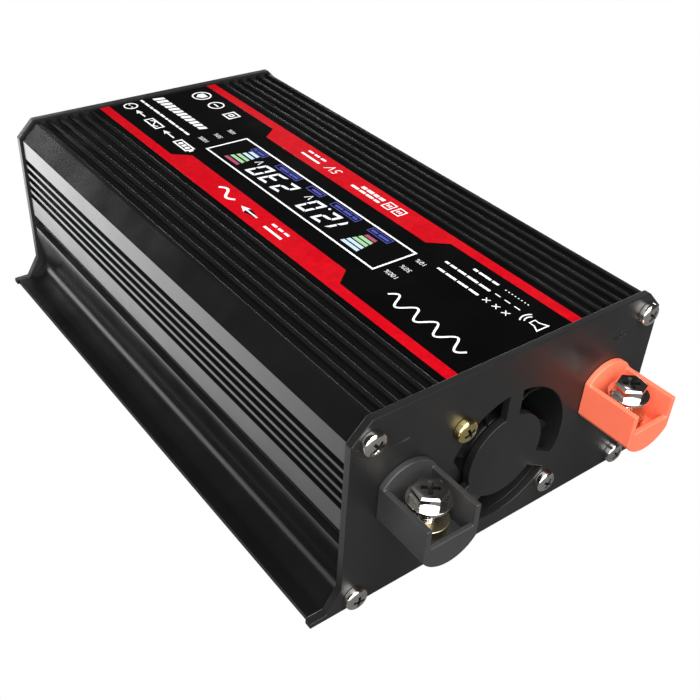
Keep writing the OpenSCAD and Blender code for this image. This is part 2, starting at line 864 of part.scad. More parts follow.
// A hexagon-head bolt with a cross recess and a bevelled crown
module terminal_bolt() {
    across = bolt_flats / cos(30);
    crown = 0.6;
    slot_l = bolt_flats * 0.68;
    translate([0, -bolt_y, bolt_head_z]) difference() {
        union() {
            intersection() {
                rotate(20) cylinder(h = bolt_head_h, d = across, $fn = 6);
                union() {
                    cylinder(h = bolt_head_h - crown, d = across + 1);
                    translate([0, 0, bolt_head_h - crown])
                        cylinder(h = crown, d1 = across + 0.8, d2 = bolt_flats - 0.1);
                }
            }
            translate([0, 0, -bolt_l]) cylinder(h = bolt_l + bite, d = bolt_d);
        }
        translate([0, 0, bolt_head_h - 0.7]) for (a = [50, 140])
            rotate(a) cube([slot_l, 1.1, 1.6], center = true);
    }
}

module negative_bolt() {
    color("silver") from_front() translate([-terminal_x, 0, 0]) terminal_bolt();
}

module positive_bolt() {
    color("silver") from_front() translate([terminal_x, 0, 0]) terminal_bolt();
}

// Mains socket, drawn along +Z, which points out of the case

module at_socket() {
    facing_back(socket_x, body_l, socket_z) children();
}

module mains_socket() {
    edge = 0.5;
    front = socket_flange_t;
    barb_h = 1.8;
    color("#1a1a1c") from_front() at_socket() difference() {
        union() {
            cylinder(h = front - edge, r = socket_flange_r, $fn = 96);
            translate([0, 0, front - edge])
                cylinder(h = edge, r1 = socket_flange_r, r2 = socket_flange_r - edge, $fn = 96);
            translate([0, 0, socket_low]) cylinder(h = bite - socket_low, r = socket_cup_r, $fn = 96);
            for (a = [50, 230]) rotate(a)
                translate([socket_cup_r - 0.5, -2, -plate_t - slide_gap - barb_h])
                    cube([1, 4, barb_h]);
        }
        translate([0, 0, front - socket_depth])
            cylinder(h = socket_depth + 1, r = socket_r, $fn = 96);
        for (s = [-1, 1]) translate([s * pin_pitch / 2, 0, socket_low - 1])
            cylinder(h = socket_floor_t + 2, r = pin_hole_r);
        for (s = [-1, 1]) translate([0, s * earth_y, socket_low + socket_floor_t / 2])
            cube([
                earth_clip_w + 2 * seat_gap,
                earth_clip_t + 2 * seat_gap,
                socket_floor_t + 2
            ], center = true);
    }
}

// Split brass sleeves behind the floor, each closed at its back
module socket_contacts() {
    bore_r = 2.4;
    wall = 0.8;
    end_t = 1;
    slit_w = 0.8;
    slit_z = 3;
    color("#c8a24a") from_front() at_socket() for (s = [-1, 1])
        translate([s * pin_pitch / 2, 0, socket_low - contact_l]) difference() {
            cylinder(h = contact_l, r = bore_r + wall);
            translate([0, 0, end_t]) cylinder(h = contact_l, r = bore_r);
            translate([-slit_w / 2, 0, slit_z]) cube([slit_w, bore_r + 2 * wall, contact_l]);
        }
}

module earth_clips() {
    behind = 6;
    reach = 13;
    color("#c8a24a") from_front() at_socket() for (s = [-1, 1])
        translate([-earth_clip_w / 2, s * earth_y - earth_clip_t / 2, socket_low - behind])
            cube([earth_clip_w, earth_clip_t, behind + socket_floor_t + reach]);
}

// From the back of each sleeve down to the main board
module mains_leads() {
    y = body_l + socket_low - contact_l;
    z = socket_z;
    color("#5a3a20") from_front() for (s = [-1, 1]) {
        x = socket_x + s * pin_pitch / 2;
        lead([
            [x, y, z], [x, y - 1.5, z], [x, y - 3, z - 0.8], [x, y - 3.8, z - 2.3],
            [x, y - 3.8, board_top]
        ], 1.6, [1, 0, 0]);
    }
}

// USB ports

module port_places() {
    for (i = [0, 1]) facing_back(side_x, body_l, port_z + i * port_pitch) children();
}

module usb_shells() {
    color("silver") from_front() port_places() translate([0, 0, -port_d]) difference() {
        linear_extrude(port_d) square([port_w, port_h], center = true);
        translate([0, 0, port_wall]) linear_extrude(port_d)
            square([port_w - 2 * port_wall, port_h - 2 * port_wall], center = true);
    }
}

module usb_tongues() {
    tongue_w = 11.1;
    thick = 1.8;
    color("#1d4f9e") from_front() port_places()
        translate([-tongue_w / 2, -port_h / 2 + port_wall + 0.6, -port_d + port_wall])
            cube([tongue_w, thick, port_d - port_wall - 1]);
}

module usb_board() {
    h = port_pitch + port_h + 4;
    color("#1f6b3a") from_front()
        translate([side_x - port_w / 2 - 2, body_l - port_d - 1.4, port_z - port_h / 2 - 2])
            cube([port_w + 4, 1.4, h]);
}

module usb_lead() {
    y = body_l - port_d - 1.4;
    z = port_z - port_h / 2 - 1;
    x = side_x - 5;
    end_y = board_y + board_l - 4;
    color("#303030") from_front() for (dx = [0, 2.4])
        lead([
            [x + dx, y, z], [x + dx, y - 4, z], [x + dx, end_y + 2.4, z - 3],
            [x + dx, end_y, z - 5.4], [x + dx, end_y, board_top]
        ], 1.4, [1, 0, 0]);
}

// Switch, drawn along +Z, which points out of the case

module at_switch() {
    facing_back(side_x, body_l, switch_z) children();
}

module switch_frame() {
    open_w = rocker_w + 2 * swing_gap;
    open_h = 2 * (rocker_r + swing_gap);
    back_t = 2;
    color("#141414") from_front() at_switch() difference() {
        union() {
            linear_extrude(switch_flange_t) rounded_square(switch_w, switch_h, 1);
            translate([0, 0, -switch_d]) linear_extrude(switch_d + bite)
                square([switch_body_w, switch_body_h], center = true);
        }
        translate([0, 0, back_t - switch_d]) linear_extrude(switch_d + switch_flange_t)
            square([open_w, open_h], center = true);
        translate([-switch_w, 0, rocker_pivot_y]) rotate([0, 90, 0])
            cylinder(h = 2 * switch_w, r = rocker_pin_r + running_gap);
    }
}

// The rocker rests tilted to its off side
module switch_rocker() {
    deep = 4;
    pin_l = switch_body_w - 0.4;
    color("#1c1c1e") from_front() at_switch() translate([0, 0, rocker_pivot_y])
        rotate([-rocker_tilt, 0, 0]) {
            translate([-rocker_w / 2, 0, 0]) rotate([0, 90, 0]) rotate(90)
                linear_extrude(rocker_w) intersection() {
                    circle(rocker_r, $fn = 96);
                    polygon([
                        [-rocker_half_h, -deep],
                        [rocker_half_h, -deep],
                        [rocker_half_h, rocker_crest],
                        [0, rocker_crest - rocker_dip],
                        [-rocker_half_h, rocker_crest]
                    ]);
                }
            translate([-pin_l / 2, 0, 0]) rotate([0, 90, 0]) cylinder(h = pin_l, r = rocker_pin_r);
        }
}

module switch_blades() {
    color("#c8a24a") from_front() at_switch() for (s = [-1, 1])
        translate([-2.4, s * switch_blade_z - 0.4, -switch_d - switch_blade_l])
            cube([4.8, 0.8, switch_blade_l]);
}

// One lead from each blade; the lower one passes up over the end of the board
module switch_leads() {
    y = body_l - switch_d - switch_blade_l;
    end_y = board_y + board_l - 1.8;
    low_x = side_x - 1.2;
    high_x = side_x + 1.2;
    low_z = switch_z - switch_blade_z;
    high_z = switch_z + switch_blade_z;
    over = board_top + 3.4;
    color("#a02020") from_front() {
        lead([
            [low_x, y, low_z], [low_x, y - 1.6, low_z], [low_x, y - 2.8, low_z + 1.2],
            [low_x, y - 2.8, over - 1.2], [low_x, y - 4, over], [low_x, end_y + 1.2, over],
            [low_x, end_y, over - 1.2], [low_x, end_y, board_top]
        ], 1.4, [1, 0, 0]);
        lead([
            [high_x, y, high_z], [high_x, end_y + 2, high_z], [high_x, end_y, high_z - 2],
            [high_x, end_y, board_top]
        ], 1.4, [1, 0, 0]);
    }
}

module status_leds() {
    color("#d8f0d8") from_front() for (i = [0, 1])
        facing_back(led_x, body_l, port_z + i * port_pitch) {
            translate([0, 0, -5]) cylinder(h = 5.4, r = led_r);
            translate([0, 0, 0.3]) intersection() {
                sphere(r = led_r);
                translate([-3, -3, 0]) cube(6);
            }
            translate([0, 0, -6]) cylinder(h = 1.5, r = led_r + 0.5);
        }
}

// Electronics

module main_board() {
    color("#1f6b3a") from_front() translate([-board_half_w, board_y, board_z])
        cube([2 * board_half_w, board_l, board_t]);
}

module insulation_sheet() {
    sheet_t = 0.4;
    w = 2 * (bottom_port[0] - port_r) - 1;
    color("#e8e4d8") from_front() translate([-w / 2, board_y - 2, floor_t])
        cube([w, board_l + 4, sheet_t]);
}

module transformer_places() {
    for (i = [0, 1])
        translate([0, transformer_y + i * transformer_pitch, board_top + core_lift]) children();
}

// A square ferrite core with a window on each side of its middle leg
module transformer_cores() {
    color("#3a3a3c") from_front() transformer_places() difference() {
        translate([-core_w / 2, -core_d / 2, 0]) cube([core_w, core_d, core_h]);
        for (x = [core_leg - core_w / 2, core_leg / 2]) translate([x, -core_d, core_leg])
            cube([core_window_w, 2 * core_d, core_h - 2 * core_leg]);
    }
}

// Windings round the middle leg, standing on four pins
module transformer_windings() {
    gap = swing_gap;
    out = 7;
    pin_w = 1;
    w = core_leg + 2 * (core_window_w - gap);
    h = core_h - 2 * (core_leg + gap);
    inner = [core_leg + 2 * gap, core_d + 2 * gap];
    color("#c89a3a") from_front() transformer_places() {
        translate([0, 0, core_leg + gap]) difference() {
            translate([-w / 2, -core_d / 2 - out, 0]) cube([w, core_d + 2 * out, h]);
            translate([-inner[0] / 2, -inner[1] / 2, -1]) cube([inner[0], inner[1], h + 2]);
        }
        for (sx = [-1, 1], sy = [-1, 1])
            translate([sx * 8 - pin_w / 2, sy * (core_d + out) / 2 - pin_w / 2, -core_lift])
                cube([pin_w, pin_w, core_lift + core_leg + gap + bite]);
    }
}

module input_capacitors() {
    can_r = 6;
    can_h = 22;
    color("#20305a") from_front() for (x = [-15, 0, 15]) translate([x, board_y + 14, board_top])
        difference() {
            cylinder(h = can_h, r = can_r);
            translate([0, 0, can_h - 0.4]) for (a = [0, 60, 120])
                rotate(a) cube([2 * can_r - 3, 0.6, 1], center = true);
        }
}

module bus_capacitor() {
    color("#20305a") from_front() translate([20, board_y + 108, board_top]) difference() {
        cylinder(h = 25, r = 9);
        translate([0, 0, 24.6]) for (a = [0, 90]) rotate(a) cube([14, 0.8, 1], center = true);
    }
}

module heat_sinks() {
    fin_count = 9;
    color("#9a9ca0") from_front() both_sides() {
        difference() {
            translate([sink_x, sink_y, board_top]) cube([sink_t, sink_l, sink_h]);
            for (y = transistor_ys) translate([sink_x - 1, y, transistor_hole_z])
                rotate([0, 90, 0]) cylinder(h = sink_t + 2, r = thread_hole_r);
        }
        for (i = [0:fin_count - 1])
            translate([sink_x + sink_t - bite, sink_y + i * (sink_l - 1.4) / (fin_count - 1),
                board_top])
                cube([sink_fin_out, 1.4, sink_h]);
    }
}

// A flat power transistor standing against the inner face of a heat sink
module transistor(y) {
    body_t = 4.4;
    tab_t = 1.3;
    body_w = 10;
    foot_z = board_top + 4;
    tab_z = transistor_hole_z - 3.3;
    difference() {
        union() {
            translate([sink_x - body_t, y - body_w / 2, foot_z]) cube([body_t, body_w, 9.2]);
            translate([sink_x - tab_t, y - body_w / 2, tab_z]) cube([tab_t, body_w, 6.5]);
            for (dy = [-2.5, 0, 2.5]) translate([sink_x - 2.8, y + dy - 0.4, board_top])
                cube([0.6, 0.8, 4 + bite]);
        }
        translate([sink_x - 3, y, transistor_hole_z]) rotate([0, 90, 0])
            cylinder(h = 6, r = pass_hole_r);
    }
}

module input_transistors() {
    color("#202022") from_front() mirror([1, 0, 0]) for (y = transistor_ys) transistor(y);
}

module output_transistors() {
    color("#202022") from_front() for (y = transistor_ys) transistor(y);
}

module transistor_screws() {
    color("silver") from_front() both_sides() for (y = transistor_ys)
        translate([sink_x - 1.3, y, transistor_hole_z]) rotate([0, 90, 0]) pan_screw(3.8);
}

module filter_choke() {
    ring_r = 7.5;
    tube_r = 3.6;
    color("#b06a2c") from_front() translate([-14, board_y + 99, board_top + tube_r])
        rotate_extrude($fn = 64) translate([ring_r, 0]) circle(tube_r, $fn = 32);
}

module fuses() {
    color("#d8792a") from_front() for (y = fuse_ys) translate([fuse_x - 9, y, board_top + 5])
        union() {
            cube([18, 4, 8]);
            for (x = [1.5, 12]) translate([x, 1.6, -3]) cube([4.5, 0.8, 3 + bite]);
        }
}

module fuse_holders() {
    color("#1c1c1c") from_front() for (y = fuse_ys)
        translate([fuse_x - 9.5, y - 0.5, board_top]) difference() {
            cube([19, 5, 5]);
            for (x = [1.8, 12.3]) translate([x, 1.8, 1.6]) cube([4.9, 1.4, 6]);
        }
}

module buzzer() {
    color("#151515") from_front() translate([-30, board_y + 16, board_top]) difference() {
        cylinder(h = 9, r = 6);
        translate([0, 0, 8]) cylinder(h = 2, r = 1.2);
    }
}

module control_chips() {
    color("#101010") from_front() for (p = [[-29, board_y + 26], [19, board_y + 88]])
        translate([p[0], p[1], board_top]) cube([10, 4, 3.4]);
}

top_housing();
bottom_housing();
dc_end_plate();
ac_end_plate();
dc_plate_screws();
ac_plate_screws();
top_label();
display_window();
display_module();
display_board();
display_ribbon();
fan_frame();
fan_rotor();
fan_stator();
fan_screws();
fan_nuts();
fan_lead();
negative_cup();
positive_cup();
negative_strip();
positive_strip();
negative_washer();
positive_washer();
negative_bolt();
positive_bolt();
mains_socket();
socket_contacts();
earth_clips();
mains_leads();
usb_shells();
usb_tongues();
usb_board();
usb_lead();
switch_frame();
switch_rocker();
switch_blades();
switch_leads();
status_leds();
main_board();
insulation_sheet();
transformer_cores();
transformer_windings();
input_capacitors();
bus_capacitor();
heat_sinks();
input_transistors();
output_transistors();
transistor_screws();
filter_choke();
fuses();
fuse_holders();
buzzer();
control_chips();
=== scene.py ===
import math
import random

import bmesh
import bpy
from mathutils import Matrix, Vector


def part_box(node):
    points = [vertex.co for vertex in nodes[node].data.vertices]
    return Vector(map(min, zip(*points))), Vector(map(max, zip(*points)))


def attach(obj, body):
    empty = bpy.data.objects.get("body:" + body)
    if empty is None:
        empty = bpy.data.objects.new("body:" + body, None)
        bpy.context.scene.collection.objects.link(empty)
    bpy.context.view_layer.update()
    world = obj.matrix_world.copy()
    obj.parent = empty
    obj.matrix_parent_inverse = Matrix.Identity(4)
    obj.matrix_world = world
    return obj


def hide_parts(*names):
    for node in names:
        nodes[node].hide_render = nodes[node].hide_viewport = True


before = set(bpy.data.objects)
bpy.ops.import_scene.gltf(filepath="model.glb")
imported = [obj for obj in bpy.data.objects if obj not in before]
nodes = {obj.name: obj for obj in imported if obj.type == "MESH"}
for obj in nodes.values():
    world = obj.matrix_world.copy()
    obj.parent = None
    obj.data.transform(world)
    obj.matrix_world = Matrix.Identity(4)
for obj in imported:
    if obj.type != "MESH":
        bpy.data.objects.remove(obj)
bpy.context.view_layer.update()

# Shapes are drawn in millimetres and scaled by MM when they become pieces. The studio is in metres.
MM = 0.001
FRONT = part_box("dc_end_plate")[0].y / MM
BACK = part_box("ac_end_plate")[1].y / MM
LABEL_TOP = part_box("top_label")[1].z / MM
FILM = 0.03
WHITE = (1, 1, 1, 1)
QUARTER = math.radians(90)
scene = bpy.context.scene


# Studio: camera, sky, floor, bounce cards and soft lights

LENS = 50.0
SENSOR = 36.0
AZIMUTH, ELEVATION, ROLL = (math.radians(a) for a in (-39.16, 36.20, 3.74))
CAMERA_PLACE = Vector((-0.13699, -0.18564, 0.17575))
NEAREST = 0.01
FURTHEST = 50
SKY_DIM = 0.035
FLOOR_HALF = 6.0
FLOOR_DROP = 0.0002
FLOOR_GREY = 0.13
FLOOR_ROUGHNESS = 0.9
CARD_INNER = 0.0575
CARD_OUTER = 0.13
CARD_NEAR = -0.07
CARD_FAR = 1.2
CARD_LIFT = 0.0005
CARD_GLOW_NEAR = 0.7
CARD_GLOW_FAR = 3.4
GLOW_STARTS = -0.05
GLOW_FULL = 0.20
LIGHT_AIM = Vector((0, 0, 0.03))

# Soft lights: name, place, width, height, power in watts

SOFT_LIGHTS = [
    ("left_softbox", (-0.78, -0.58, 0.48), 1.3, 1.0, 12),
    ("front_softbox", (-0.20, -0.95, 0.50), 1.4, 0.9, 10),
    ("top_softbox", (-0.10, -0.45, 1.10), 1.0, 0.8, 16),
    ("right_softbox", (0.98, 0.74, 0.17), 1.0, 0.22, 4.5),
    ("back_softbox", (-0.05, 1.20, 0.16), 0.8, 0.25, 9),
]


def set_camera():
    back = Vector((
        math.sin(AZIMUTH) * math.cos(ELEVATION),
        -math.cos(AZIMUTH) * math.cos(ELEVATION),
        math.sin(ELEVATION),
    ))
    level = Vector((0, 0, 1)).cross(back).normalized()
    upright = back.cross(level)
    right = math.cos(ROLL) * level + math.sin(ROLL) * upright
    up = -math.sin(ROLL) * level + math.cos(ROLL) * upright
    data = bpy.data.cameras.new("camera")
    data.lens = LENS
    data.sensor_width = SENSOR
    data.clip_start = NEAREST
    data.clip_end = FURTHEST
    camera = bpy.data.objects.new("camera", data)
    turn = Matrix((right, up, back)).transposed().to_4x4()
    camera.matrix_world = Matrix.Translation(CAMERA_PLACE) @ turn
    scene.collection.objects.link(camera)
    scene.camera = camera


def soft_light(name, place, width, height, power):
    data = bpy.data.lights.new(name, "AREA")
    data.shape = "RECTANGLE"
    data.size = width
    data.size_y = height
    data.energy = power
    light = bpy.data.objects.new(name, data)
    light.location = place
    light.rotation_euler = (LIGHT_AIM - Vector(place)).to_track_quat("-Z", "Y").to_euler()
    light.visible_camera = False
    scene.collection.objects.link(light)


def flat_sheet(name, x0, y0, x1, y1, z, material):
    bm = bmesh.new()
    bmesh.ops.create_grid(bm, x_segments=1, y_segments=1, size=0.5)
    bmesh.ops.scale(bm, vec=(x1 - x0, y1 - y0, 1), verts=bm.verts)
    bmesh.ops.translate(bm, vec=((x0 + x1) / 2, (y0 + y1) / 2, z), verts=bm.verts)
    sheet = shown(name, bm, material)
    return sheet


def split_by_ray(tree, felt, seen):
    """One shader for the camera's own rays and another for every other ray."""
    ray = add(tree, "ShaderNodeLightPath")
    mix = add(tree, "ShaderNodeMixShader", Fac=ray.outputs["Is Camera Ray"])
    tree.links.new(felt.outputs[0], mix.inputs[1])
    tree.links.new(seen.outputs[0], mix.inputs[2])
    return mix.outputs[0]


def set_world():
    """A sky that is plain white behind the part and lights it dimly."""
    scene.view_settings.view_transform = "Standard"
    world = bpy.data.worlds.new("studio")
    world.use_nodes = True
    scene.world = world
    tree = world.node_tree
    tree.nodes.clear()
    seen = add(tree, "ShaderNodeBackground", Color=WHITE, Strength=1.0)
    felt = add(tree, "ShaderNodeBackground", Color=WHITE, Strength=SKY_DIM)
    out = add(tree, "ShaderNodeOutputWorld")
    tree.links.new(split_by_ray(tree, felt, seen), out.inputs["Surface"])


def lay_floor():
    """A floor that looks plain white, and that the part's surfaces see as grey."""
    pale, tree, shader = blank("pale floor")
    shader.inputs["Base Color"].default_value = opaque((FLOOR_GREY,) * 3)
    shader.inputs["Roughness"].default_value = FLOOR_ROUGHNESS
    shader.inputs["Specular IOR Level"].default_value = 0.0
    glow = add(tree, "ShaderNodeEmission", Color=WHITE, Strength=1.0)
    out = tree.nodes["Material Output"]
    tree.links.new(split_by_ray(tree, shader, glow), out.inputs["Surface"])
    flat_sheet("floor", -FLOOR_HALF, -FLOOR_HALF, FLOOR_HALF, FLOOR_HALF, -FLOOR_DROP, pale)


def lay_cards():
    """A glowing card on each side, brighter towards the far end and hidden from the camera."""
    card, tree, _ = blank("bounce card")
    place = tree.nodes.new("ShaderNodeTexCoord").outputs["Object"]
    along = add(tree, "ShaderNodeSeparateXYZ", Vector=place).outputs["Y"]
    strength = spread(tree, along, GLOW_STARTS, GLOW_FULL, CARD_GLOW_NEAR, CARD_GLOW_FAR)
    glow = add(tree, "ShaderNodeEmission", Color=WHITE, Strength=strength)
    tree.links.new(glow.outputs[0], tree.nodes["Material Output"].inputs["Surface"])
    for name, side in (("bounce_card_left", -1), ("bounce_card_right", 1)):
        low_x, high_x = sorted((side * CARD_INNER, side * CARD_OUTER))
        sheet = flat_sheet(name, low_x, CARD_NEAR, high_x, CARD_FAR, CARD_LIFT, card)
        sheet.visible_camera = False


# Node helpers


def feed(tree, socket, value):
    """Links an input to a socket, or sets it to a plain value."""
    if isinstance(value, bpy.types.NodeSocket):
        tree.links.new(value, socket)
    else:
        socket.default_value = value


def add(tree, kind, settings=None, **values):
    """Adds a node and feeds its inputs; an input's spaces are written as underscores."""
    node = tree.nodes.new(kind)
    for key, value in (settings or {}).items():
        setattr(node, key, value)
    for key, value in values.items():
        feed(tree, node.inputs[key.replace("_", " ")], value)
    return node


def blank(name):
    material = bpy.data.materials.new(name)
    material.use_nodes = True
    tree = material.node_tree
    return material, tree, tree.nodes["Principled BSDF"]


def opaque(colour, dim=1.0):
    return tuple(dim * c for c in colour) + (1.0,)


SOCKETS = {"value": "NodeSocketFloat", "colour": "NodeSocketColor"}


def group(name, inputs, outputs, build):
    """A shader node group; inputs are (name, kind, default) and outputs are (name, kind)."""
    tree = bpy.data.node_groups.new(name, "ShaderNodeTree")
    for label, kind, value in inputs:
        tree.interface.new_socket(label, in_out="INPUT", socket_type=SOCKETS[kind]).default_value = value
    for label, kind in outputs:
        tree.interface.new_socket(label, in_out="OUTPUT", socket_type=SOCKETS[kind])
    given = tree.nodes.new("NodeGroupInput").outputs
    results = tree.nodes.new("NodeGroupOutput").inputs
    place = tree.nodes.new("ShaderNodeTexCoord").outputs["Object"]
    scale = maths(tree, "DIVIDE", 1.0, given["Size"])
    for label, socket in build(tree, given, place, scale).items():
        tree.links.new(socket, results[label])
    return tree


def use(tree, effect, **values):
    return add(tree, "ShaderNodeGroup", {"node_tree": effect}, **values).outputs


def noise(tree, place, scale, detail=3.0, roughness=0.55):
    return add(tree, "ShaderNodeTexNoise", Vector=place, Scale=scale, Detail=detail,
               Roughness=roughness).outputs["Fac"]


def maths(tree, how, a, b):
    node = add(tree, "ShaderNodeMath", {"operation": how})
    feed(tree, node.inputs[0], a)
    feed(tree, node.inputs[1], b)
    return node.outputs[0]


def plus(tree, a, b):
    return maths(tree, "ADD", a, b)


def times(tree, a, b):
    return maths(tree, "MULTIPLY", a, b)


def spread(tree, value, low, high, low_to=0.0, high_to=1.0):
    return add(tree, "ShaderNodeMapRange", Value=value, From_Min=low, From_Max=high,
               To_Min=low_to, To_Max=high_to).outputs[0]


# A colour mix node's sockets by number, because its kinds of value share their names
MIX_SHARE, MIX_FIRST, MIX_SECOND, MIX_RESULT = 0, 6, 7, 2


def blend_colour(tree, share, first, second):
    node = add(tree, "ShaderNodeMix", {"data_type": "RGBA"})
    for number, value in ((MIX_SHARE, share), (MIX_FIRST, first), (MIX_SECOND, second)):
        feed(tree, node.inputs[number], value)
    return node.outputs[MIX_RESULT]


# Effects that several finishes share

NOISE_LOW = 0.35
NOISE_HIGH = 0.65
DRAWN_STRETCH = (1.0, 0.006, 1.0)
SCRATCH_RUNS = ((0.6, 0.05), (-0.9, 0.08))
SCRATCH_WIDTH = 0.012


def build_tone(tree, given, place, scale):
    """Soft patches of a second colour."""
    share = spread(tree, noise(tree, place, scale, detail=4.0), NOISE_LOW, NOISE_HIGH)
    share = times(tree, share, given["Amount"])
    return {"Colour": blend_colour(tree, share, given["Colour"], given["Patch"])}


def build_handling(tree, given, place, scale):
    """Roughness that wanders between two values, as on a touched surface."""
    wide = noise(tree, place, scale, detail=2.0)
    fine = noise(tree, place, times(tree, scale, 6.0), detail=4.0)
    mixed = plus(tree, times(tree, wide, 0.85), times(tree, fine, 0.15))
    return {"Roughness": spread(tree, mixed, NOISE_LOW, NOISE_HIGH, given["Smooth"], given["Rough"])}


def build_drawn_lines(tree, given, place, scale):
    """Fine lines along the length, left by an extrusion die or a drawing plate."""
    stretched = add(tree, "ShaderNodeMapping", Vector=place, Scale=DRAWN_STRETCH).outputs[0]
    fine = noise(tree, stretched, scale, detail=5.0, roughness=0.7)
    broad = noise(tree, stretched, times(tree, scale, 0.12), detail=2.0)
    return {"Height": plus(tree, fine, times(tree, broad, 0.6))}


def build_orange_peel(tree, given, place, scale):
    """The gentle bumps of paint or plating, with a little grit."""
    bumps = noise(tree, place, scale, detail=1.5, roughness=0.4)
    grit = noise(tree, place, times(tree, scale, 4.0), detail=2.0)
    return {"Height": plus(tree, bumps, times(tree, grit, 0.25))}


def build_moulded_grain(tree, given, place, scale):
    """The cells of a spark-eroded mould, with a little grit."""
    cells = add(tree, "ShaderNodeTexVoronoi", {"feature": "SMOOTH_F1"}, Vector=place, Scale=scale)
    grit = noise(tree, place, scale)
    return {"Height": plus(tree, cells.outputs["Distance"], times(tree, grit, 0.5))}


def build_scratches(tree, given, place, scale):
    """Thin lines in two directions, with wide gaps between them."""
    masks = []
    for turn, squeeze in SCRATCH_RUNS:
        laid = add(tree, "ShaderNodeMapping", Vector=place, Rotation=(turn, turn, turn),
                   Scale=(1.0, squeeze, squeeze)).outputs[0]
        cells = add(tree, "ShaderNodeTexVoronoi", {"feature": "DISTANCE_TO_EDGE"}, Vector=laid, Scale=scale)
        masks.append(spread(tree, cells.outputs["Distance"], 0.0, SCRATCH_WIDTH, 1.0, 0.0))
    gaps = spread(tree, noise(tree, place, times(tree, scale, 0.7), detail=2.0), 0.5, 0.6)
    return {"Mask": times(tree, maths(tree, "MAXIMUM", *masks), gaps)}


SIZE_IN = ("Size", "value", 0.001)
HEIGHT_OUT = ("Height", "value")
TONE = group("Tone", [("Colour", "colour", WHITE), ("Patch", "colour", WHITE), SIZE_IN,
                      ("Amount", "value", 0.5)], [("Colour", "colour")], build_tone)
HANDLING = group("Handling", [SIZE_IN, ("Smooth", "value", 0.3), ("Rough", "value", 0.4)],
                 [("Roughness", "value")], build_handling)
DRAWN_LINES = group("Drawn lines", [SIZE_IN], [HEIGHT_OUT], build_drawn_lines)
ORANGE_PEEL = group("Orange peel", [SIZE_IN], [HEIGHT_OUT], build_orange_peel)
MOULDED_GRAIN = group("Moulded grain", [SIZE_IN], [HEIGHT_OUT], build_moulded_grain)
SCRATCHES = group("Scratches", [SIZE_IN], [("Mask", "value")], build_scratches)


# Finishes: name, colour, lowest and highest roughness, relief with its size and depth, second colour with
# the size and share of its patches, then what is special to the finish

HANDLING_SIZE = 14
SCRATCH_SIZE = 12
PATCH_DIM = 0.72
GLOW_BASE = 0.2
COAT_ROUGHNESS = 0.08


def finish(name, colour, smooth, rough, relief=None, size=0.3, depth=0.004, patch=None, patch_size=9.0,
           patch_share=0.5, metal=0.0, ior=1.5, coat=0.0, scratch=0.0, glow=0.0, clear=0.0):
    """A surface finish, with its sizes and depth in millimetres."""
    material, tree, shader = blank(name)
    other = opaque(patch) if patch else opaque(colour, PATCH_DIM)
    toned = use(tree, TONE, Colour=opaque(colour), Patch=other, Size=patch_size * MM,
                Amount=patch_share)["Colour"]
    worn = use(tree, HANDLING, Size=HANDLING_SIZE * MM, Smooth=smooth, Rough=rough)["Roughness"]
    if scratch:
        marks = use(tree, SCRATCHES, Size=SCRATCH_SIZE * MM)["Mask"]
        worn = plus(tree, worn, times(tree, marks, scratch))
    tree.links.new(worn, shader.inputs["Roughness"])
    if glow:
        shader.inputs["Base Color"].default_value = opaque(colour, GLOW_BASE)
        tree.links.new(toned, shader.inputs["Emission Color"])
        shader.inputs["Emission Strength"].default_value = glow
    else:
        tree.links.new(toned, shader.inputs["Base Color"])
    shader.inputs["Metallic"].default_value = metal
    shader.inputs["IOR"].default_value = ior
    shader.inputs["Coat Weight"].default_value = coat
    shader.inputs["Coat Roughness"].default_value = COAT_ROUGHNESS
    shader.inputs["Transmission Weight"].default_value = clear
    if relief:
        height = use(tree, relief, Size=size * MM)["Height"]
        bump = add(tree, "ShaderNodeBump", Height=height, Distance=depth * MM)
        tree.links.new(bump.outputs["Normal"], shader.inputs["Normal"])
    return material


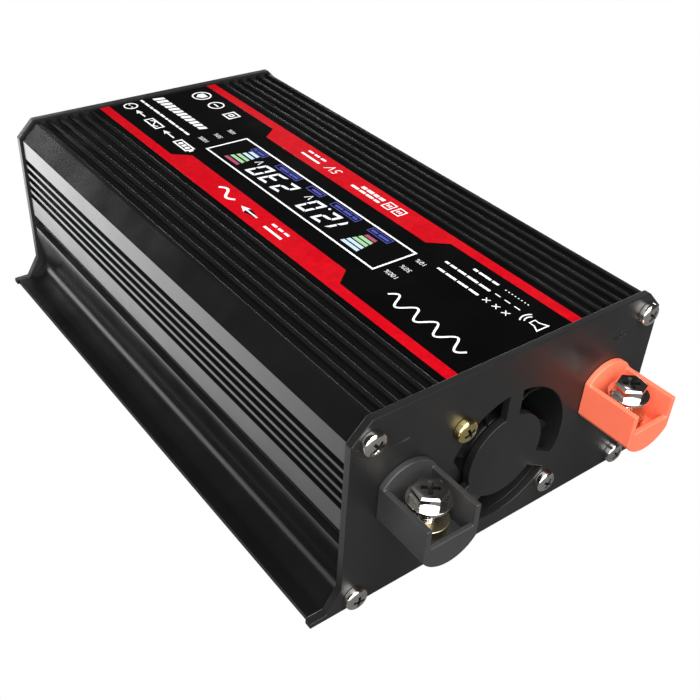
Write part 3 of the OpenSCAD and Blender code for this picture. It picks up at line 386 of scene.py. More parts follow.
FINISHES = {
    "anodised_black": finish("black anodising", (0.0042, 0.0042, 0.0045), 0.19, 0.25,
                             DRAWN_LINES, 0.35, 0.0018, ior=1.77),
    "plate_black": finish("powder coat", (0.011, 0.011, 0.011), 0.32, 0.40,
                          ORANGE_PEEL, 0.5, 0.004, ior=1.42),
    "nickel": finish("bright nickel", (0.78, 0.76, 0.73), 0.08, 0.16, ORANGE_PEEL, 0.6, 0.0015,
                     (0.68, 0.64, 0.58), 1.2, metal=1.0),
    "label_film": finish("printed film", (0.0010, 0.0010, 0.0012), 0.10, 0.16,
                         ORANGE_PEEL, 0.8, 0.001, ior=1.42),
    "display_glass": finish("tinted window", (0.0012, 0.0012, 0.0016), 0.04, 0.08, ORANGE_PEEL, 3.0, 0.0008,
                            coat=0.3, scratch=0.05),
    "black_plastic": finish("black moulding", (0.007, 0.007, 0.0075), 0.38, 0.50, MOULDED_GRAIN, 0.25, 0.006),
    "grey_plastic": finish("grey moulding", (0.032, 0.032, 0.033), 0.36, 0.46, MOULDED_GRAIN, 0.22, 0.004),
    "red_plastic": finish("red moulding", (0.95, 0.185, 0.100), 0.34, 0.46, MOULDED_GRAIN, 0.22, 0.004,
                          (0.88, 0.155, 0.082)),
    "plated_brass": finish("tinned brass", (0.72, 0.64, 0.46), 0.20, 0.32, DRAWN_LINES, 0.12, 0.002,
                           (0.60, 0.46, 0.26), 3.0, metal=1.0, scratch=0.2),
    "bright_brass": finish("stamped brass", (0.80, 0.58, 0.24), 0.22, 0.34, DRAWN_LINES, 0.15, 0.002,
                           (0.66, 0.42, 0.15), 3.0, metal=1.0),
    "shell_steel": finish("tinned shell", (0.62, 0.62, 0.61), 0.24, 0.36, DRAWN_LINES, 0.10, 0.002,
                          metal=1.0, scratch=0.2),
    "blue_plastic": finish("blue insert", (0.02, 0.09, 0.42), 0.32, 0.42, MOULDED_GRAIN, 0.2, 0.003),
    "circuit_board": finish("solder mask", (0.014, 0.13, 0.05), 0.22, 0.36, MOULDED_GRAIN, 0.5, 0.006,
                            (0.03, 0.22, 0.09), 2.5, 0.8),
    "bare_aluminium": finish("sawn aluminium", (0.60, 0.61, 0.63), 0.30, 0.45, DRAWN_LINES, 0.2, 0.006,
                             metal=1.0, scratch=0.2),
    "ferrite": finish("sintered ferrite", (0.045, 0.045, 0.05), 0.55, 0.75, MOULDED_GRAIN, 0.4, 0.02),
    "copper_wire": finish("enamelled copper", (0.66, 0.28, 0.11), 0.20, 0.32, DRAWN_LINES, 0.6, 0.05,
                          (0.50, 0.18, 0.06), 2.0, metal=1.0),
    "winding_tape": finish("yellow tape", (0.62, 0.43, 0.06), 0.24, 0.38, DRAWN_LINES, 2.0, 0.03,
                           (0.70, 0.52, 0.12), 4.0),
    "capacitor_sleeve": finish("shrunk sleeve", (0.016, 0.03, 0.12), 0.18, 0.30, ORANGE_PEEL, 1.0, 0.01,
                               (0.03, 0.05, 0.18), 4.0),
    "chip_epoxy": finish("moulded epoxy", (0.013, 0.013, 0.014), 0.45, 0.62, MOULDED_GRAIN, 0.15, 0.008),
    "lead_red": finish("red insulation", (0.46, 0.02, 0.018), 0.36, 0.48, ORANGE_PEEL, 0.6, 0.01),
    "lead_black": finish("black insulation", (0.02, 0.02, 0.021), 0.36, 0.48, ORANGE_PEEL, 0.6, 0.01),
    "lead_brown": finish("brown insulation", (0.11, 0.045, 0.02), 0.36, 0.48, ORANGE_PEEL, 0.6, 0.01),
    "fuse_orange": finish("fuse body", (0.80, 0.24, 0.03), 0.12, 0.22, ORANGE_PEEL, 1.0, 0.004,
                          (0.68, 0.16, 0.02), clear=0.3),
    "led_lens": finish("diffused lens", (0.62, 0.86, 0.62), 0.10, 0.18, ORANGE_PEEL, 1.0, 0.004,
                       (0.50, 0.78, 0.52), 1.5, clear=0.35),
    "insulation_film": finish("cream film", (0.75, 0.72, 0.62), 0.30, 0.45, ORANGE_PEEL, 3.0, 0.02),
    "ribbon_grey": finish("ribbon cable", (0.25, 0.26, 0.28), 0.38, 0.50, DRAWN_LINES, 0.8, 0.05),
    "display_stack": finish("display stack", (0.10, 0.13, 0.12), 0.16, 0.28, ORANGE_PEEL, 2.0, 0.004,
                            (0.20, 0.22, 0.21), 6.0),
}
YELLOW_ZINC = finish("yellow passivated zinc", (0.80, 0.64, 0.25), 0.14, 0.24, ORANGE_PEEL, 0.25, 0.003,
                     (0.62, 0.55, 0.28), 1.2, metal=1.0)
# Painted shade: the driver recesses are the same nickel as the heads, and this darker colour stands in for
# the shadow inside them.
PAINTED_SHADE_RECESS = finish("driver recess with painted shade", (0.09, 0.085, 0.08), 0.35, 0.5, metal=1.0)
RED_INK = finish("red ink", (0.52, 0.0010, 0.0075), 0.18, 0.24, ORANGE_PEEL, 0.5, 0.002,
                 (0.36, 0.0007, 0.005), 1.5, 0.7, ior=1.3)
WHITE_INK = finish("white ink", (0.90, 0.90, 0.90), 0.28, 0.40, ORANGE_PEEL, 0.5, 0.002, patch_share=0.15)
LIT_WHITE = finish("lit white figures", (0.92, 0.94, 1.0), 0.08, 0.14, patch_share=0.2, glow=1.0)
LIT_PALE = finish("lit pale blue figures", (0.62, 0.80, 0.92), 0.08, 0.14, patch_share=0.3, glow=0.9)
LIT_GREEN = finish("lit green figures", (0.40, 0.68, 0.38), 0.08, 0.14, patch_share=0.3, glow=0.9)
LIT_PINK = finish("lit pink figures", (0.45, 0.08, 0.16), 0.08, 0.14, patch_share=0.3, glow=0.9)
LIT_BLUE = finish("lit blue captions", (0.085, 0.095, 0.42), 0.08, 0.14, patch_share=0.3, glow=0.9)


# Piece helpers

MERGE_REACH = 1e-5
WELD_REACH = 1e-6
FLAT_ANGLE = math.radians(0.6)
FLAT_FACE_WEIGHT = 90
TURN_STEPS = 48
OVERSHOOT = 1.0
WING_TAPER = (0.72, 0.75, 1)


def shown(name, bm, *materials):
    """Makes a bmesh a piece in the scene, with its materials in slot order."""
    mesh = bpy.data.meshes.new(name)
    bm.to_mesh(mesh)
    bm.free()
    for material in materials:
        mesh.materials.append(material)
    piece = bpy.data.objects.new(name, mesh)
    scene.collection.objects.link(piece)
    return piece


def taken_back(piece):
    """Takes a piece out of the scene again, as a bmesh."""
    bm = bmesh.new()
    bm.from_mesh(piece.data)
    bpy.data.objects.remove(piece)
    return bm


def taken_in(bm, other, matrix):
    """Adds a copy of another bmesh, moved by a matrix, to a bmesh."""
    mesh = bpy.data.meshes.new("copy")
    other.to_mesh(mesh)
    mesh.transform(matrix)
    bm.from_mesh(mesh)
    bpy.data.meshes.remove(mesh)


def soften(piece, width, segments, angle=32.0, weld=False):
    """Rounds the edges of a piece and lets its flat faces shade flat."""
    faces = piece.data.polygons
    faces.foreach_set("use_smooth", [True] * len(faces))
    if weld:
        piece.modifiers.new("weld", "WELD").merge_threshold = WELD_REACH
        flat = piece.modifiers.new("flat", "DECIMATE")
        flat.decimate_type = "DISSOLVE"
        flat.angle_limit = FLAT_ANGLE
    if width:
        edge = piece.modifiers.new("edge", "BEVEL")
        edge.width = width * MM
        edge.segments = segments
        edge.limit_method = "ANGLE"
        edge.angle_limit = math.radians(angle)
        edge.use_clamp_overlap = False
        edge.miter_outer = "MITER_ARC"
    shade = piece.modifiers.new("shade", "WEIGHTED_NORMAL")
    shade.keep_sharp = False
    shade.weight = FLAT_FACE_WEIGHT


def crisp(piece, angle=28.0):
    """Smooth shading that stops at every edge sharper than an angle."""
    bm = bmesh.new()
    bm.from_mesh(piece.data)
    for face in bm.faces:
        face.smooth = True
    for edge in bm.edges:
        edge.smooth = edge.calc_face_angle(math.pi) < math.radians(angle)
    bm.to_mesh(piece.data)
    bm.free()


def carve(piece, cutter):
    """Cuts a piece by another, which leaves its material on the cut faces."""
    step = piece.modifiers.new("carve", "BOOLEAN")
    step.object = cutter
    step.operation = "DIFFERENCE"
    step.solver = "EXACT"
    step.material_mode = "TRANSFER"
    dg = bpy.context.evaluated_depsgraph_get()
    mesh = bpy.data.meshes.new_from_object(piece.evaluated_get(dg))
    piece.modifiers.clear()
    piece.data = mesh
    bpy.data.objects.remove(cutter)


def turned(profile):
    """A closed turned shape from (radius, height) points that begin and end on the axis."""
    bm = bmesh.new()
    points = [bm.verts.new((r, 0, z)) for r, z in profile]
    for a, b in zip(points, points[1:]):
        bm.edges.new((a, b))
    bmesh.ops.spin(bm, geom=bm.verts[:] + bm.edges[:], cent=(0, 0, 0), axis=(0, 0, 1),
                   angle=2 * math.pi, steps=TURN_STEPS, use_merge=True)
    bmesh.ops.remove_doubles(bm, verts=bm.verts, dist=MERGE_REACH)
    bmesh.ops.recalc_face_normals(bm, faces=bm.faces)
    return bm


def slot_cutter(length, width, depth, top, turn):
    """One wing of a cross recess: a bar that narrows towards its floor."""
    height = depth + OVERSHOOT
    bm = bmesh.new()
    bmesh.ops.create_cube(bm, size=1)
    bmesh.ops.scale(bm, vec=(length, width, height), verts=bm.verts)
    floor = [v for v in bm.verts if v.co.z < 0]
    bmesh.ops.scale(bm, vec=WING_TAPER, verts=floor)
    bmesh.ops.translate(bm, vec=(0, 0, top - depth + height / 2), verts=bm.verts)
    bmesh.ops.rotate(bm, cent=(0, 0, 0), matrix=Matrix.Rotation(turn, 3, "Z"), verts=bm.verts)
    # The cutter's material is the recess's painted shade, which carve leaves on the faces it cuts.
    return shown("cutter", bm, PAINTED_SHADE_RECESS)


def dress(node, finish_name, width, segments):
    piece = nodes[node]
    piece.data.materials.clear()
    piece.data.materials.append(FINISHES[finish_name])
    soften(piece, width, segments, weld=True)


# Screws and bolts; a cross is the length, width and depth of its wings

TOWARDS_BACK = Matrix.Rotation(-QUARTER, 4, "X")
TOWARDS_FRONT = Matrix.Rotation(QUARTER, 4, "X")
CREST_DROP = 0.03
CREST_HALF = 0.06
RIDGE_HALF = 0.46
HEAD_R = 2.9
HEAD_H = 2.3
DOME_H = 0.95
HEAD_FOOT = 0.12
SCREW_CROSS = (3.5, 0.78, 1.25)
SCREW_R = 1.5
SCREW_ROOT_R = SCREW_R - 0.27
SCREW_TIP_H = 0.4
SCREW_TIP_TAPER = 0.5
SCREW_PITCH = 0.5
CASE_SCREW_L = 9.0
FAN_SCREW_L = 14.4
CASE_SCREWS = [(s * x, z) for x, z in ((42.0, 48.6), (43.4, 3.4)) for s in (-1, 1)]
FAN_SCREWS = [(-16.0, 39.5), (16.0, 7.5)]
BOLT_FLATS = 7.0
BOLT_HEAD_H = 2.8
BOLT_CHAMFER = 0.42
BOLT_EDGE = 0.07
BOLT_TURN = 50
BOLT_CROSS = (4.9, 1.15, 1.0)
BOLT_L = 7.0
BOLT_R = 2.0
BOLT_ROOT_R = BOLT_R - 0.36
BOLT_SINK = 0.4
BOLT_TIP_H = 0.5
BOLT_TIP_TAPER = 0.6
BOLT_PITCH = 0.7


def wind_thread(bm, radius, depth, pitch, low, high, steps):
    """Winds a ridge with a pointed crest round the axis, from one height to another."""
    ridge = bmesh.new()
    foot, crest = radius - depth, radius - CREST_DROP
    section = [(foot, -RIDGE_HALF), (crest, -CREST_HALF), (crest, CREST_HALF), (foot, RIDGE_HALF)]
    ring = [ridge.verts.new((r, 0, low + k * pitch)) for r, k in section]
    for a, b in zip(ring, ring[1:] + ring[:1]):
        ridge.edges.new((a, b))
    turns = (high - low) / pitch
    count = int(steps * turns)
    bmesh.ops.spin(ridge, geom=ridge.verts[:] + ridge.edges[:], cent=(0, 0, 0), axis=(0, 0, 1),
                   dvec=(0, 0, pitch / steps), angle=2 * math.pi * count / steps, steps=count)
    bmesh.ops.holes_fill(ridge, edges=[e for e in ridge.edges if e.is_boundary], sides=4)
    bmesh.ops.recalc_face_normals(ridge, faces=ridge.faces)
    taken_in(bm, ridge, Matrix())
    ridge.free()


def pan_screw(length):
    """A pan-head screw with its head's seat at height 0, its head above and its thread below."""
    dome = [(HEAD_R * math.sin(a), HEAD_H - DOME_H + DOME_H * math.cos(a))
            for a in (math.radians(d) for d in range(0, 91, 10))]
    foot = [(HEAD_R, HEAD_FOOT), (HEAD_R - HEAD_FOOT, 0.0)]
    shank = [(SCREW_ROOT_R, 0.0), (SCREW_ROOT_R, SCREW_TIP_H - length),
             (SCREW_ROOT_R - SCREW_TIP_TAPER, -length), (0.0, -length)]
    piece = shown("screw", turned(dome + foot + shank), FINISHES["nickel"])
    for turn in (0, QUARTER):
        carve(piece, slot_cutter(*SCREW_CROSS, HEAD_H, turn))
    bm = taken_back(piece)
    wind_thread(bm, SCREW_R, depth=0.30, pitch=SCREW_PITCH, low=0.6 - length, high=-0.2, steps=20)
    return bm


def screw_set(name, node, length, places, facing, wall, seed, tinted=()):
    """A row of pan screws, given as (x, z) places on an end plate's outer face."""
    one = pan_screw(length)
    chance = random.Random(seed)
    bm = bmesh.new()
    for index, (x, z) in enumerate(places):
        turn = Matrix.Rotation(chance.uniform(0, QUARTER), 4, "Z")
        before = len(bm.faces)
        taken_in(bm, one, Matrix.Translation((x, wall, z)) @ facing @ turn)
        bm.faces.ensure_lookup_table()
        for face in bm.faces[before:]:
            if index in tinted and face.material_index == 0:
                face.material_index = 2
    one.free()
    bmesh.ops.scale(bm, vec=(MM, MM, MM), verts=bm.verts)
    piece = shown(name, bm, FINISHES["nickel"], PAINTED_SHADE_RECESS, *([YELLOW_ZINC] if tinted else []))
    crisp(piece)
    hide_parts(node)
    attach(piece, "root")


def hexagon_bolt(name, node, body):
    """A hexagon bolt with a chamfered crown and a cross recess, under whose head its washer lies."""
    low, high = (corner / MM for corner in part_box(node))
    seat = high.z - BOLT_HEAD_H
    corner_r = BOLT_FLATS / 2 / math.cos(math.radians(30))
    bm = bmesh.new()
    bmesh.ops.create_cone(bm, cap_ends=True, cap_tris=False, segments=6, radius1=corner_r, radius2=corner_r,
                          depth=BOLT_HEAD_H)
    bmesh.ops.translate(bm, vec=(0, 0, BOLT_HEAD_H / 2), verts=bm.verts)
    turn = Matrix.Rotation(math.radians(BOLT_TURN), 3, "Z")
    bmesh.ops.rotate(bm, cent=(0, 0, 0), matrix=turn, verts=bm.verts)
    rim = [e for e in bm.edges if min(v.co.z for v in e.verts) > BOLT_HEAD_H / 2]
    for edges, width, segments in ((rim, BOLT_CHAMFER, 1), (None, BOLT_EDGE, 2)):
        bmesh.ops.bevel(bm, geom=edges or bm.edges[:], offset=width, segments=segments, profile=0.5,
                        affect="EDGES", material=-1)
    piece = shown(name, bm, FINISHES["nickel"])
    for turn in (BOLT_TURN, BOLT_TURN + 90):
        carve(piece, slot_cutter(*BOLT_CROSS, BOLT_HEAD_H, math.radians(turn)))
    bm = taken_back(piece)
    shank = turned([(0, BOLT_SINK), (BOLT_ROOT_R, BOLT_SINK), (BOLT_ROOT_R, BOLT_TIP_H - BOLT_L),
                    (BOLT_ROOT_R - BOLT_TIP_TAPER, -BOLT_L), (0, -BOLT_L)])
    taken_in(bm, shank, Matrix())
    shank.free()
    wind_thread(bm, BOLT_R, depth=0.39, pitch=BOLT_PITCH, low=0.7 - BOLT_L, high=-0.1, steps=32)
    bmesh.ops.translate(bm, vec=((low.x + high.x) / 2, (low.y + high.y) / 2, seat), verts=bm.verts)
    bmesh.ops.scale(bm, vec=(MM, MM, MM), verts=bm.verts)
    piece = shown(name, bm, FINISHES["nickel"], PAINTED_SHADE_RECESS)
    crisp(piece, 22.0)
    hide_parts(node)
    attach(piece, body)


# Fan rotor; a blade's chord, depth and sweep change from the hub to the tip

FAN_AXIS_Z = 23.5
FAN_SETBACK = 2.0
HUB_R = 10.0
HUB_FRONT = 1.0
HUB_BACK = 7.6
HUB_WALL = 1.2
HUB_CORNER = 0.35
POST_R = 1.0
POST_BACK = 9.0
TIP_R = 18.4
BLADES = 7
BLADE_T = 0.7
BLADE_SINK = 0.4
TIP_GAP = 0.1
HALF_CHORD = 2.5
CHORD_GROWTH = 1.5
CAMBER = 1.1
SWEEP = 0.30
BLADE_MIDDLE = 4.5
HALF_DEPTH = 2.75
DEPTH_LOSS = 0.5


def fan_blade():
    """A swept, cambered blade between the hub and the tip, as a grid bent into shape."""
    bm = bmesh.new()
    bmesh.ops.create_grid(bm, x_segments=10, y_segments=8, size=1)
    for v in bm.verts:
        out = (v.co.x + 1) / 2
        chord = v.co.y
        radius = HUB_R - BLADE_SINK + out * (TIP_R - HUB_R - TIP_GAP)
        along = chord * (HALF_CHORD + CHORD_GROWTH * out) + CAMBER * (1 - chord * chord)
        angle = along / radius + SWEEP * out * out
        height = BLADE_MIDDLE + chord * (HALF_DEPTH - DEPTH_LOSS * out)
        v.co = (radius * math.cos(angle), radius * math.sin(angle), height)
    bmesh.ops.solidify(bm, geom=bm.faces, thickness=BLADE_T)
    bmesh.ops.recalc_face_normals(bm, faces=bm.faces)
    return bm


def fan_wheel():
    inner_r, floor = HUB_R - HUB_WALL, HUB_FRONT + HUB_WALL
    hub = turned([(0, HUB_FRONT), (inner_r, HUB_FRONT), (HUB_R - HUB_CORNER, HUB_FRONT + HUB_CORNER),
                  (HUB_R, floor), (HUB_R, HUB_BACK), (inner_r, HUB_BACK), (inner_r, floor),
                  (POST_R, floor), (POST_R, POST_BACK), (0, POST_BACK + 0.1)])
    blade = fan_blade()
    for index in range(BLADES):
        taken_in(hub, blade, Matrix.Rotation(2 * math.pi * index / BLADES, 4, "Z"))
    blade.free()
    place = Matrix.Translation((0, FRONT + FAN_SETBACK, FAN_AXIS_Z)) @ TOWARDS_BACK
    bmesh.ops.transform(hub, matrix=Matrix.Scale(MM, 4) @ place, verts=hub.verts)
    piece = shown("fan_wheel", hub, FINISHES["black_plastic"])
    soften(piece, 0.12, 2, 40.0)
    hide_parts("fan_rotor")
    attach(piece, "fan")


# Prints: flat outlines in the label's own (across, along) millimetres, along counted from the front

DASH_STARTS = 0.08
DASH_ENDS = 0.78
BAR_SHORT = 0.14
WORD_LENGTHS = (1.4, 4.2)
WORD_GAP = 0.55
WORD_LEAST = 0.8
THINNER = 0.016
ARROW_LINE = 0.5
ARROW_SINK = 0.6
ALONG_LABEL = Matrix.Rotation(QUARTER, 4, "Z")


def rect(x0, y0, x1, y1):
    return [(x0, y0), (x1, y0), (x1, y1), (x0, y1)]


def border(x0, y0, x1, y1, line):
    return [rect(x0, y0, x1, y1), rect(x0 + line, y0 + line, x1 - line, y1 - line)]


def circle(x, y, r, count=28):
    return [(x + r * math.cos(2 * math.pi * i / count), y + r * math.sin(2 * math.pi * i / count))
            for i in range(count)]


def stroke(points, line):
    """The outline of a line of even width along some points."""
    points = [Vector(p) for p in points]
    left, right = [], []
    for i, p in enumerate(points):
        ahead = points[min(i + 1, len(points) - 1)] - points[max(i - 1, 0)]
        across = Vector((-ahead.y, ahead.x)).normalized() * line / 2
        left.append(tuple(p + across))
        right.append(tuple(p - across))
    return left + right[::-1]


def wave(x, y0, y1, height, periods, line):
    count = 24 * periods
    return stroke([(x - height * math.sin(2 * math.pi * periods * i / count), y0 + (y1 - y0) * i / count)
                   for i in range(count + 1)], line)


def direct_current(x, y0, y1, rise, line):
    """A long bar over three short ones."""
    step = (y1 - y0) / 3
    upper, lower = x - rise / 2, x + rise / 2
    dashes = [rect(lower, y0 + i * step + DASH_STARTS * step, lower + line, y0 + (i + DASH_ENDS) * step)
              for i in range(3)]
    return [rect(upper - line, y0, upper, y1 - BAR_SHORT * step)] + dashes


def arrow(x, tail, barbs, tip, half, notch):
    """A shaft and a notched head that points away from the front."""
    shaft = stroke([(x, tail), (x, barbs + ARROW_SINK)], ARROW_LINE)
    return [shaft, [(x + half, barbs), (x, tip), (x - half, barbs), (x, barbs + notch)]]


def ring(x, y, outer, inner):
    return [circle(x, y, outer), circle(x, y, inner)]


def greeked(x, y0, y1, height, seed):
    """A row of short bars of uneven length, where fine print would be."""
    chance = random.Random(seed)
    bars = []
    y = y0
    while y < y1 - WORD_LEAST:
        end = min(y + chance.uniform(*WORD_LENGTHS), y1)
        bars.append(rect(x - height / 2, y, x + height / 2, end))
        y = end + WORD_GAP
    return bars


def raised(outlines, thick):
    """Fills closed outlines, with holes where one lies in another, and makes a thin mesh of them."""
    curve = bpy.data.curves.new("outline", "CURVE")
    curve.dimensions = "2D"
    curve.fill_mode = "BOTH"
    curve.extrude = thick / 2
    for outline in outlines:
        spline = curve.splines.new("POLY")
        spline.points.add(len(outline) - 1)
        for point, (x, y) in zip(spline.points, outline):
            point.co = (x, y, 0, 1)
        spline.use_cyclic_u = True
    return curve_mesh(curve)


def lettered(text, size, lean, thick):
    """Generic figures, drawn a little thinner than the font."""
    curve = bpy.data.curves.new("figures", "FONT")
    curve.body = text
    curve.size = size
    curve.offset = -THINNER * size
    curve.shear = lean
    curve.align_x = "CENTER"
    curve.align_y = "CENTER"
    curve.extrude = thick / 2
    return curve_mesh(curve)


def curve_mesh(curve):
    carrier = bpy.data.objects.new("carrier", curve)
    scene.collection.objects.link(carrier)
    mesh = bpy.data.meshes.new_from_object(carrier.evaluated_get(bpy.context.evaluated_depsgraph_get()))
    bpy.data.objects.remove(carrier)
    bpy.data.curves.remove(curve)
    return mesh


def print_piece(name, meshes, material, slot, top=LABEL_TOP, thick=FILM):
    """Joins thin meshes, each given with its place on the label, into one print."""
    bm = bmesh.new()
    for mesh, place in meshes:
        mesh.transform(Matrix.Translation((0, FRONT, top + thick / 2)) @ place)
        bm.from_mesh(mesh)
        bpy.data.meshes.remove(mesh)
    bmesh.ops.remove_doubles(bm, verts=bm.verts, dist=MERGE_REACH)
    bmesh.ops.scale(bm, vec=(MM, MM, MM), verts=bm.verts)
    piece = shown(name, bm, material)
    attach(piece, "root")


def flat_print(name, outlines, material, slot="label_film", **rest):
    print_piece(name, [(raised(outlines, FILM), Matrix())], material, slot, **rest)

# Prints on the label: red bands, then white marks and numbers

BAND_NEAR = 2.25
BAND_FAR = 165.75
BAND_OUTER = 20.68
BAND_THIN = 17.5
BAND_KINKS = (44.0, 48.0, 121.8, 125.7)
PORT_X = 15.0
PORT_W = 3.6
PORT_L = 3.2
SPEAKER_X = 9.95
SPEAKER_MOUTH = 7.6
LAMP_X = 7.2
LAMP_REACH = 0.75
LAMP_HOLE = 0.1
CHAIN_X = -11.5
CHAIN_HALF = 1.6
BOX_L = 7.8
BAR_SET = (0.6, 136.0, 2.4)
NOTICE_X = 11.9


def side_bands():
    """The red bands along both sides, which widen beside the display."""
    leave, reach, depart, rejoin = BAND_KINKS
    for name, side, wide in (("stripe_left", -1, 12.7), ("stripe_right", 1, 12.5)):
        edge = [(BAND_OUTER, BAND_NEAR), (BAND_THIN, BAND_NEAR), (BAND_THIN, leave), (wide, reach),
                (wide, depart), (BAND_THIN, rejoin), (BAND_THIN, BAND_FAR), (BAND_OUTER, BAND_FAR)]
        flat_print(name, [[(side * x, y) for x, y in edge]], RED_INK)


def port_mark(y):
    """A port seen from its mouth: a frame with two contacts."""
    contacts = [rect(16.2, y + 0.9, 17.4, y + 1.35), rect(16.2, y + 1.85, 17.4, y + 2.3)]
    return border(PORT_X, y, PORT_X + PORT_W, y + PORT_L, 0.35) + contacts


def band_marks():
    """Direct to alternating current on the left band; ports, fine print and direct current on the right."""
    marks = direct_current(-16.5, 68.4, 76.6, 1.7, 0.75)
    marks += arrow(-16.9, tail=80.9, barbs=85.6, tip=88.6, half=1.2, notch=0.6)
    marks.append(wave(-16.4, 92.4, 101.0, 1.45, 1, 0.8))
    marks += direct_current(16.9, 98.8, 108.0, 1.7, 0.75)
    marks += port_mark(62.2) + port_mark(66.4)
    marks += greeked(15.6, 71.0, 84.0, 0.9, 3) + greeked(17.5, 71.0, 82.0, 1.2, 4)
    flat_print("band_marks", marks, WHITE_INK, top=LABEL_TOP + FILM)


def speaker_mark():
    """A horn with a hollow, and two arcs of sound."""
    marks = [
        [(8.9, 8.0), (11.0, 8.0), (11.0, 6.5), (12.1, 4.4), (7.8, 4.4), (8.9, 6.5)],
        [(9.2, 7.7), (10.7, 7.7), (10.7, 6.4), (11.5, 4.75), (8.4, 4.75), (9.2, 6.4)],
    ]
    for r in (2.0, 3.0):
        marks.append(stroke([(SPEAKER_X + r * math.sin(a), SPEAKER_MOUTH + r * math.cos(a))
                             for a in (math.radians(d) for d in range(-42, 43, 7))], 0.35))
    return marks


def lamp_mark(y):
    """A light with four rays, and the tick beside it."""
    marks = []
    for lean in (-1, 1):
        for way in (-1, 1):
            ends = sorted((way * LAMP_REACH, way * LAMP_HOLE))
            marks.append(stroke([(LAMP_X + lean * end, y + end) for end in ends], 0.26))
    marks.append(rect(LAMP_X - 0.15, y - 0.15, LAMP_X + 0.15, y + 0.15))
    marks.append(stroke([(10.9, y - 0.9), (10.9, y + 0.9)], 0.3))
    return marks


def sound_chart():
    """A sine trace, and a chart of lights and sounds with fine print beside it."""
    marks = [wave(-10.7, 7.2, 34.4, 2.0, 4, 0.55)] + speaker_mark()
    for y in (13.6, 16.8, 20.0):
        marks += lamp_mark(y)
    marks += [circle(14.1, 13.2 + 1.05 * i, 0.2, 10) for i in range(8)]
    marks += greeked(7.0, 22.6, 37.0, 0.75, 5) + greeked(10.6, 22.4, 39.0, 0.75, 6)
    marks += greeked(14.2, 23.2, 31.8, 0.75, 8)
    flat_print("sound_chart", marks, WHITE_INK)


def chain_box(y):
    return border(CHAIN_X - CHAIN_HALF, y, CHAIN_X + CHAIN_HALF, y + BOX_L, 0.5)


def chain_marks():
    """A battery, a converter and an outlet in a row, with arrows between them."""
    left, right = CHAIN_X - 0.7, CHAIN_X + 0.7
    marks = chain_box(125.2) + [rect(left, 124.3, right, 125.1)]
    marks += [rect(left, 126.4 + 1.9 * i, right, 127.6 + 1.9 * i) for i in range(3)]
    marks += arrow(CHAIN_X, tail=135.0, barbs=138.8, tip=141.4, half=1.1, notch=0.5)
    marks += chain_box(143.4) + [wave(CHAIN_X, 144.8, 149.8, 0.85, 1, 0.4)]
    marks += arrow(CHAIN_X, tail=153.2, barbs=156.4, tip=159.0, half=1.1, notch=0.5)
    marks += ring(CHAIN_X, 162.8, 2.3, 1.8)
    marks += [circle(CHAIN_X, 161.9, 0.36, 12), circle(CHAIN_X, 163.7, 0.36, 12)]
    return marks


def rising_bars(count=12):
    """Slanting bars that grow along the label."""
    x, start, step = BAR_SET
    bars = []
    for i in range(count):
        y = start + step * i
        end = -1.9 - 0.1 * i
        bars.append([(x, y), (x, y + 1.6), (end, y + 2.3), (end, y + 0.7)])
    return bars


def notice_marks():
    """Plain rings and squares, where notices would be."""
    marks = ring(NOTICE_X, 159.2, 3.2, 2.7)
    marks.append([(13.3, 157.6), (13.3, 160.8), (11.4, 160.8), (9.9, 159.2), (11.4, 157.6)])
    marks += ring(NOTICE_X, 150.1, 2.7, 2.2)
    marks.append(stroke([(NOTICE_X, 148.7), (NOTICE_X, 151.5)], 0.5))
    return marks + border(9.7, 138.6, 14.1, 143.0, 0.5) + border(11.0, 139.9, 12.8, 141.7, 0.45)


def rating_marks():
    marks = chain_marks() + greeked(-6.6, 134.8, 165.4, 0.8, 9) + rising_bars() + notice_marks()
    flat_print("rating_marks", marks, WHITE_INK)


def scale_numbers():
    """The percentages beside both level scales, and the ports' voltage."""
    figures = []
    for text, x, y in (("100%", -4.5, 40.6), ("50%", 0.1, 40.8), ("10%", 5.1, 40.9),
                       ("100%", -4.4, 129.6), ("50%", 0.6, 129.7), ("10%", 5.6, 130.0)):
        figures.append((lettered(text, 2.15, 0.0, FILM), Matrix.Translation((x, y, 0)) @ ALONG_LABEL))
    figures.append((lettered("5V", 4.7, 0.2, FILM), Matrix.Translation((16.9, 93.0, FILM)) @ ALONG_LABEL))
    print_piece("scale_numbers", figures, WHITE_INK, "label_film")


# Lit figures of the display

SEGMENTS = {"0": "abcdef", "1": "bc", "2": "abged", "3": "abgcd"}
CAPTION_ENDS = ((52.6, 61.0), (65.8, 77.3), (81.8, 88.4), (93.1, 104.0), (110.2, 116.8))
CAPTION_SEED = 20


